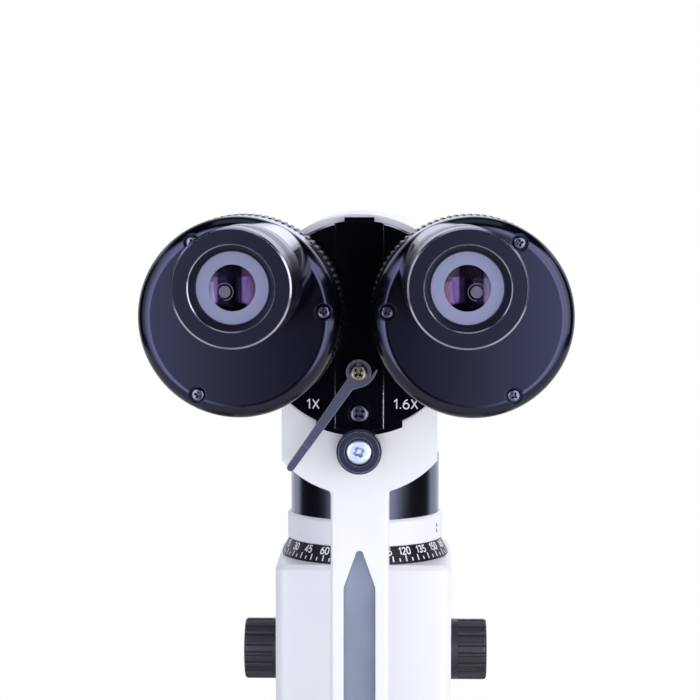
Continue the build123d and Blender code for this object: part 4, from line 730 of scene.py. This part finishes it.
LONGEST_EDGE = 0.6
CONE_PRINT_LIFT = 0.04
PRINT_RADIUS = CONE_TOP_RADIUS + 0.8
SCALE_TURN = 1.0
TICK_WIDTH = 0.45
TICK_FOOT = 0.05
TENS_TICK = 1.9
FIVES_TICK = 1.1
NUMERAL_HEIGHT = 2.6
NUMERAL_NARROW = 0.86
NUMERAL_STROKE = 0.42
NUMERAL_PLACE = 3.45
INDEX_ANGLE = 68
INDEX_SIZE = 1.1
INDEX_DROPS = (3.9, 5.9)
marks = []
for degree in range(0, 185, 5):
    angle = math.radians(degree - 90 + SCALE_TURN)
    tall = TENS_TICK if degree % 10 == 0 else FIVES_TICK
    marks.append(wrap_on_cone(bar(TICK_WIDTH, tall), angle, tall / 2 + TICK_FOOT))
for degree in range(0, 181, 15):
    angle = math.radians(degree - 90 + SCALE_TURN)
    numeral = text_mesh(str(degree), NUMERAL_HEIGHT, NUMERAL_NARROW, NUMERAL_STROKE)
    marks.append(wrap_on_cone(numeral, angle, NUMERAL_PLACE))
piece("angle_scale", joined(marks, "angle_scale"), MARK_WHITE, "illumination")

index_marks = []
for drop in INDEX_DROPS:
    bm = bar(INDEX_SIZE, INDEX_SIZE)
    raised = thicken(bm)
    for v in bm.verts:
        angle = math.radians(INDEX_ANGLE) + v.co.x / COLLAR_RADIUS
        radius = COLLAR_RADIUS + (PRINT_LIFT if v in raised else PRINT_SINK)
        v.co = on_tower(radius, angle, COLLAR_TOP - drop + v.co.y)
    index_marks.append(bm)
piece("collar_index", joined(index_marks, "collar_index"), MARK_GREY, "slit_drum")


# Grey sheet on the floor of the tall recess in the stem: painted shade for the shade inside the recess
ARCH_TIP_RADIUS = 1.3
ARCH_TAPER = 11.0
SHADE_SHEET_INSET = 0.12
SHADE_SHEET_FOOT_DROP = 217.5
SHADE_SHEET_THICK = 0.12


def arch_panel():
    """Thin sheet of painted shade with the outline of the recess: round tip, widening sides, square foot."""
    tip_drop = ARCH_TOP_DROP + ARCH_TIP_RADIUS
    round_tip = ARCH_TIP_RADIUS - SHADE_SHEET_INSET
    wide = ARCH_HALF_WIDTH - SHADE_SHEET_INSET
    outline = [(x, -tip_drop + y) for x, y in arc(0, 0, round_tip, round_tip, 0, 180, 12)]
    shoulder = -tip_drop - ARCH_TAPER
    outline += [(-wide, shoulder), (-wide, -SHADE_SHEET_FOOT_DROP), (wide, -SHADE_SHEET_FOOT_DROP), (wide, shoulder)]
    bm = bmesh.new()
    bm.faces.new([bm.verts.new((x, y, 0)) for x, y in outline])
    return flat_mark(bm, front_frame(0, 0, STEM_FRONT + ARCH_DEPTH + PRINT_SINK), SHADE_SHEET_THICK)


# Painted shade in the stem's recess
piece("arch_panel", to_mesh(arch_panel(), "arch_panel", Matrix.Identity(4)), RECESS_SHADE, "microscope")


# Knurled rings
TOOTH_STEPS = 8
RING_CHAMFER = 0.5


def knurled_ring(radius, bore, front, depth, teeth, tooth):
    """Ring with rounded teeth, chamfered at both ends down to their roots."""
    bm = bmesh.new()
    steps = teeth * TOOTH_STEPS
    root = radius - tooth
    profile = ((bore, -depth, 0.0), (root, -depth, 0.0), (radius, -depth + RING_CHAMFER, 1.0),
               (radius, -RING_CHAMFER, 1.0), (root, 0.0, 0.0), (bore, 0.0, 0.0))
    rings = []
    for r, z, share in profile:
        ring = []
        for index in range(steps):
            angle = 2 * math.pi * index / steps
            wave = 0.5 - 0.5 * math.cos(angle * teeth)
            reach = r - share * tooth * (1 - wave) ** 2
            ring.append(bm.verts.new((reach * math.cos(angle), reach * math.sin(angle), front + z)))
        rings.append(ring)
    for low, high in zip(rings, rings[1:]):
        for index in range(steps):
            after = (index + 1) % steps
            bm.faces.new((low[index], low[after], high[after], high[index]))
    return bm


for name, side in (("left", -1), ("right", 1)):
    bm = knurled_ring(GRIP_RADIUS, GRIP_BORE, -GRIP_START, GRIP_DEPTH, GRIP_TEETH, GRIP_TOOTH)
    mesh = to_mesh(bm, f"{name}_knurl", half_frame(side), 50)
    ring = piece(f"{name}_knurled_ring", mesh, SCALE_BLACK, f"{name}_half")
    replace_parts(ring, f"{name}_grip_ring")

# Eyepiece optics behind the eye lens: an inner lens with painted reflections, and a glowing grey disc with a
# ring, painted light for the bright exit pupil
FIELD_RADIUS = 7.9
FIELD_CURVE = 13.0
FIELD_THICK = 1.5
PUPIL_RADIUS = 1.65
PUPIL_THICK = 0.3
PUPIL_OUTWARD = 3.0
PUPIL_DROP = 1.5
PUPIL_DEPTH = 1.6
HALO_INNER = 2.3
HALO_OUTER = 2.5
HALO_TOP = 0.1


def bowl(radius, curve, thick):
    """Hollow-faced lens: sphere of radius curve in front, flat behind, rim at height 0."""
    sag = curve - math.sqrt(curve * curve - radius * radius)
    outline = [(0.0, -sag - thick), (radius, -sag - thick), (radius, 0.0)]
    for step in range(1, 13):
        reach = radius * (1 - step / 12)
        outline.append((reach, curve - math.sqrt(curve * curve - reach * reach) - sag))
    return spun(outline, 72)


for name, side in (("left", -1), ("right", 1)):
    centre = half_frame(side) @ Matrix.Translation((-side * EYE_INWARD, EYE_RISE, LENS_BACK))
    lens = to_mesh(bowl(FIELD_RADIUS, FIELD_CURVE, FIELD_THICK), f"{name}_field_lens", centre, 40)
    # Inner lens that carries the painted violet reflections
    piece(f"{name}_field_lens", lens, FIELD_REFLECTIONS_PAINTED[side], f"{name}_half")
    spot = centre @ Matrix.Translation((side * PUPIL_OUTWARD, -PUPIL_DROP, -PUPIL_DEPTH))
    disc = [(0.0, -PUPIL_THICK), (PUPIL_RADIUS, -PUPIL_THICK), (PUPIL_RADIUS, 0.0), (0.0, 0.0)]
    halo = [(HALO_INNER, -PUPIL_THICK), (HALO_OUTER, -PUPIL_THICK), (HALO_OUTER, -HALO_TOP),
            (HALO_INNER, -HALO_TOP), (HALO_INNER, -PUPIL_THICK)]
    discs = [spun(disc, 32), spun(halo, 40)]
    for bm in discs:
        bm.transform(spot)
    mesh = joined(discs, f"{name}_exit_pupil")
    # Glowing disc and ring: painted light for the exit pupil
    piece(f"{name}_exit_pupil", mesh, EXIT_PUPIL_GLOW, f"{name}_half")

# Floor: pale near the object, white to the camera and in reflections further out
FLOOR_RADIUS = 0.95
FLOOR_CORNERS = 96
FLOOR_SINK = 0.0004
FADE_START = 0.30
FADE_END = 0.72
FADE_LEAST = 0.2


def light_path(tree):
    """Node that tells which kind of ray is traced."""
    return tree.nodes.new("ShaderNodeLightPath").outputs


def floor_finish():
    """Matt pale floor that glows white away from the object, and keeps the object's shadow."""
    mat, tree, shader = new_material("floor_pale")
    put(shader, Roughness=0.9, Specular_IOR_Level=0.1)
    tone = two_shades(tree, noise(tree, 3, 2), (0.86, 0.86, 0.88), (0.88, 0.88, 0.9))
    tree.links.new(tone, shader.inputs["Base Color"])
    glow = tree.nodes.new("ShaderNodeEmission")
    place = tree.nodes.new("ShaderNodeTexCoord")
    length = tree.nodes.new("ShaderNodeVectorMath")
    length.operation = "LENGTH"
    tree.links.new(place.outputs["Object"], length.inputs[0])
    fade = rescale(tree, length.outputs["Value"], FADE_START, FADE_END, FADE_LEAST)
    rays = light_path(tree)
    seen = compute(tree, "MAXIMUM", rays["Is Camera Ray"], rays["Is Glossy Ray"])
    seen = compute(tree, "MAXIMUM", seen, rays["Is Transmission Ray"])
    share = compute(tree, "MULTIPLY", seen, fade)
    surface = mix_shaders(tree, share, shader.outputs["BSDF"], glow.outputs["Emission"])
    tree.links.new(surface, tree.nodes["Material Output"].inputs["Surface"])
    return mat


floor_mesh = bpy.data.meshes.new("floor")
rim = []
for corner in range(FLOOR_CORNERS):
    angle = 2 * math.pi * corner / FLOOR_CORNERS
    rim.append((FLOOR_RADIUS * math.cos(angle), FLOOR_RADIUS * math.sin(angle), 0))
floor_mesh.from_pydata(rim, [], [tuple(range(FLOOR_CORNERS))])
floor_mesh.materials.append(floor_finish())
floor = bpy.data.objects.new("floor", floor_mesh)
bpy.context.scene.collection.objects.link(floor)
floor.location = (0, 0, -FLOOR_SINK)

# Room: soft light from all round, and bright side walls for what the gloss mirrors
ROOM_STRENGTH = 0.66
MIRROR_STRENGTH = 7.6
ROOM_ACROSS = ((0.0, (0.5, 0.53, 0.64)), (0.45, (0.9, 0.92, 0.98)), (1.0, (1.0, 1.0, 1.0)))
LAVENDER = (0.66, 0.70, 1.0)
WINGS = ((-1.0, 0.0), (-0.9, 0.01), (-0.76, 0.27), (-0.3, 1.0), (-0.165, 0.0),
         (0.105, 0.0), (0.25, 1.0), (0.76, 0.27), (0.9, 0.01), (1.0, 0.0))
WINDOW = ((-0.62, 0.0), (-0.54, 1.0), (0.5, 1.0), (0.62, 0.0))
BACKDROP = (0.113, 0.116, 0.138)
BACKDROP_START = 0.5
BACKDROP_END = 0.7


def room_light(tree, colour, strength):
    """Background shader of one colour, as a socket or a plain value."""
    node = tree.nodes.new("ShaderNodeBackground")
    node.inputs["Strength"].default_value = strength
    if isinstance(colour, bpy.types.NodeSocket):
        tree.links.new(colour, node.inputs["Color"])
    else:
        node.inputs["Color"].default_value = (*colour, 1)
    return node.outputs["Background"]


def direction_ramp(tree, axis, stops, colour):
    """Colour that depends on how far a direction leans along an axis, as (lean, level) stops."""
    lean = rescale(tree, coordinate(tree, "Generated", axis), -1.0, 1.0)
    tints = [((at + 1) / 2, tuple(level * part for part in colour)) for at, level in stops]
    return ramp(tree, lean, tints)


def mirrored_room(tree):
    """What the gloss mirrors: two bright side walls of a window's height, and a grey rear."""
    walls = direction_ramp(tree, "X", WINGS, LAVENDER)
    window = direction_ramp(tree, "Z", WINDOW, FULL_COLOUR)
    bright = mix_colour(tree, 1.0, walls, window, "MULTIPLY")
    rear = rescale(tree, coordinate(tree, "Generated", "Y"), BACKDROP_START, BACKDROP_END)
    return mix_colour(tree, rear, bright, BACKDROP)


world = bpy.data.worlds.new("studio")
bpy.context.scene.world = world
world.use_nodes = True
tree = world.node_tree
tree.nodes.clear()
across = rescale(tree, coordinate(tree, "Generated", "X"), -1.0, 1.0)
room = room_light(tree, ramp(tree, across, ROOM_ACROSS), ROOM_STRENGTH)
mirror_room = room_light(tree, mirrored_room(tree), MIRROR_STRENGTH)
white = room_light(tree, FULL_COLOUR, 1.0)
rays = light_path(tree)
lit = mix_shaders(tree, rays["Is Glossy Ray"], room, mirror_room)
seen = compute(tree, "MAXIMUM", rays["Is Camera Ray"], rays["Is Transmission Ray"])
output = tree.nodes.new("ShaderNodeOutputWorld")
tree.links.new(mix_shaders(tree, seen, lit, white), output.inputs["Surface"])


# Lamps and camera
AIM = (0, -0.15, 0.3)
SENSOR_WIDTH = 36.0
FOCAL_LENGTH = 128.57
CAMERA_PLACE = (0.01919, -0.95806, 0.38201)
CAMERA_DIP = 4.6814
CAMERA_TURN = 1.5855


def softbox(name, place, width, height, radiance, colour, mirrored=True):
    """Rectangular lamp that faces the head; radiance is what a white face turned to it would show."""
    lamp = bpy.data.lights.new(name, "AREA")
    lamp.shape = "RECTANGLE"
    lamp.size = width
    lamp.size_y = height
    lamp.energy = radiance * math.pi * width * height
    lamp.color = colour
    thing = bpy.data.objects.new(name, lamp)
    bpy.context.scene.collection.objects.link(thing)
    thing.location = place
    aim = Vector(AIM) - Vector(place)
    thing.rotation_euler = aim.to_track_quat("-Z", "Y").to_euler()
    thing.visible_camera = False
    thing.visible_glossy = mirrored


softbox("lamp_left", (-0.55, -0.5, 0.45), 0.5, 0.55, 1.0, (0.84, 0.87, 1.0))
softbox("lamp_right", (0.55, -0.5, 0.45), 0.5, 0.55, 2.5, (0.97, 0.98, 1.0))
softbox("lamp_top", (0, -0.35, 1.5), 1.0, 0.8, 0.9, (0.78, 0.82, 1.0))
softbox("lamp_rear", (0.3, 1.5, 1.0), 1.2, 1.0, 0.8, (0.85, 0.87, 1.0))
softbox("lamp_fill", (0.12, -1.7, 0.02), 1.2, 0.5, 3.7, (0.98, 0.985, 1.0), mirrored=False)

camera_data = bpy.data.cameras.new("camera")
camera_data.sensor_width = SENSOR_WIDTH
camera_data.lens = FOCAL_LENGTH
camera_data.clip_start = 0.01
camera = bpy.data.objects.new("camera", camera_data)
bpy.context.scene.collection.objects.link(camera)
camera.location = CAMERA_PLACE
camera.rotation_euler = (math.radians(90 - CAMERA_DIP), 0, math.radians(CAMERA_TURN))
bpy.context.scene.camera = camera
bpy.context.scene.view_settings.view_transform = "Standard"
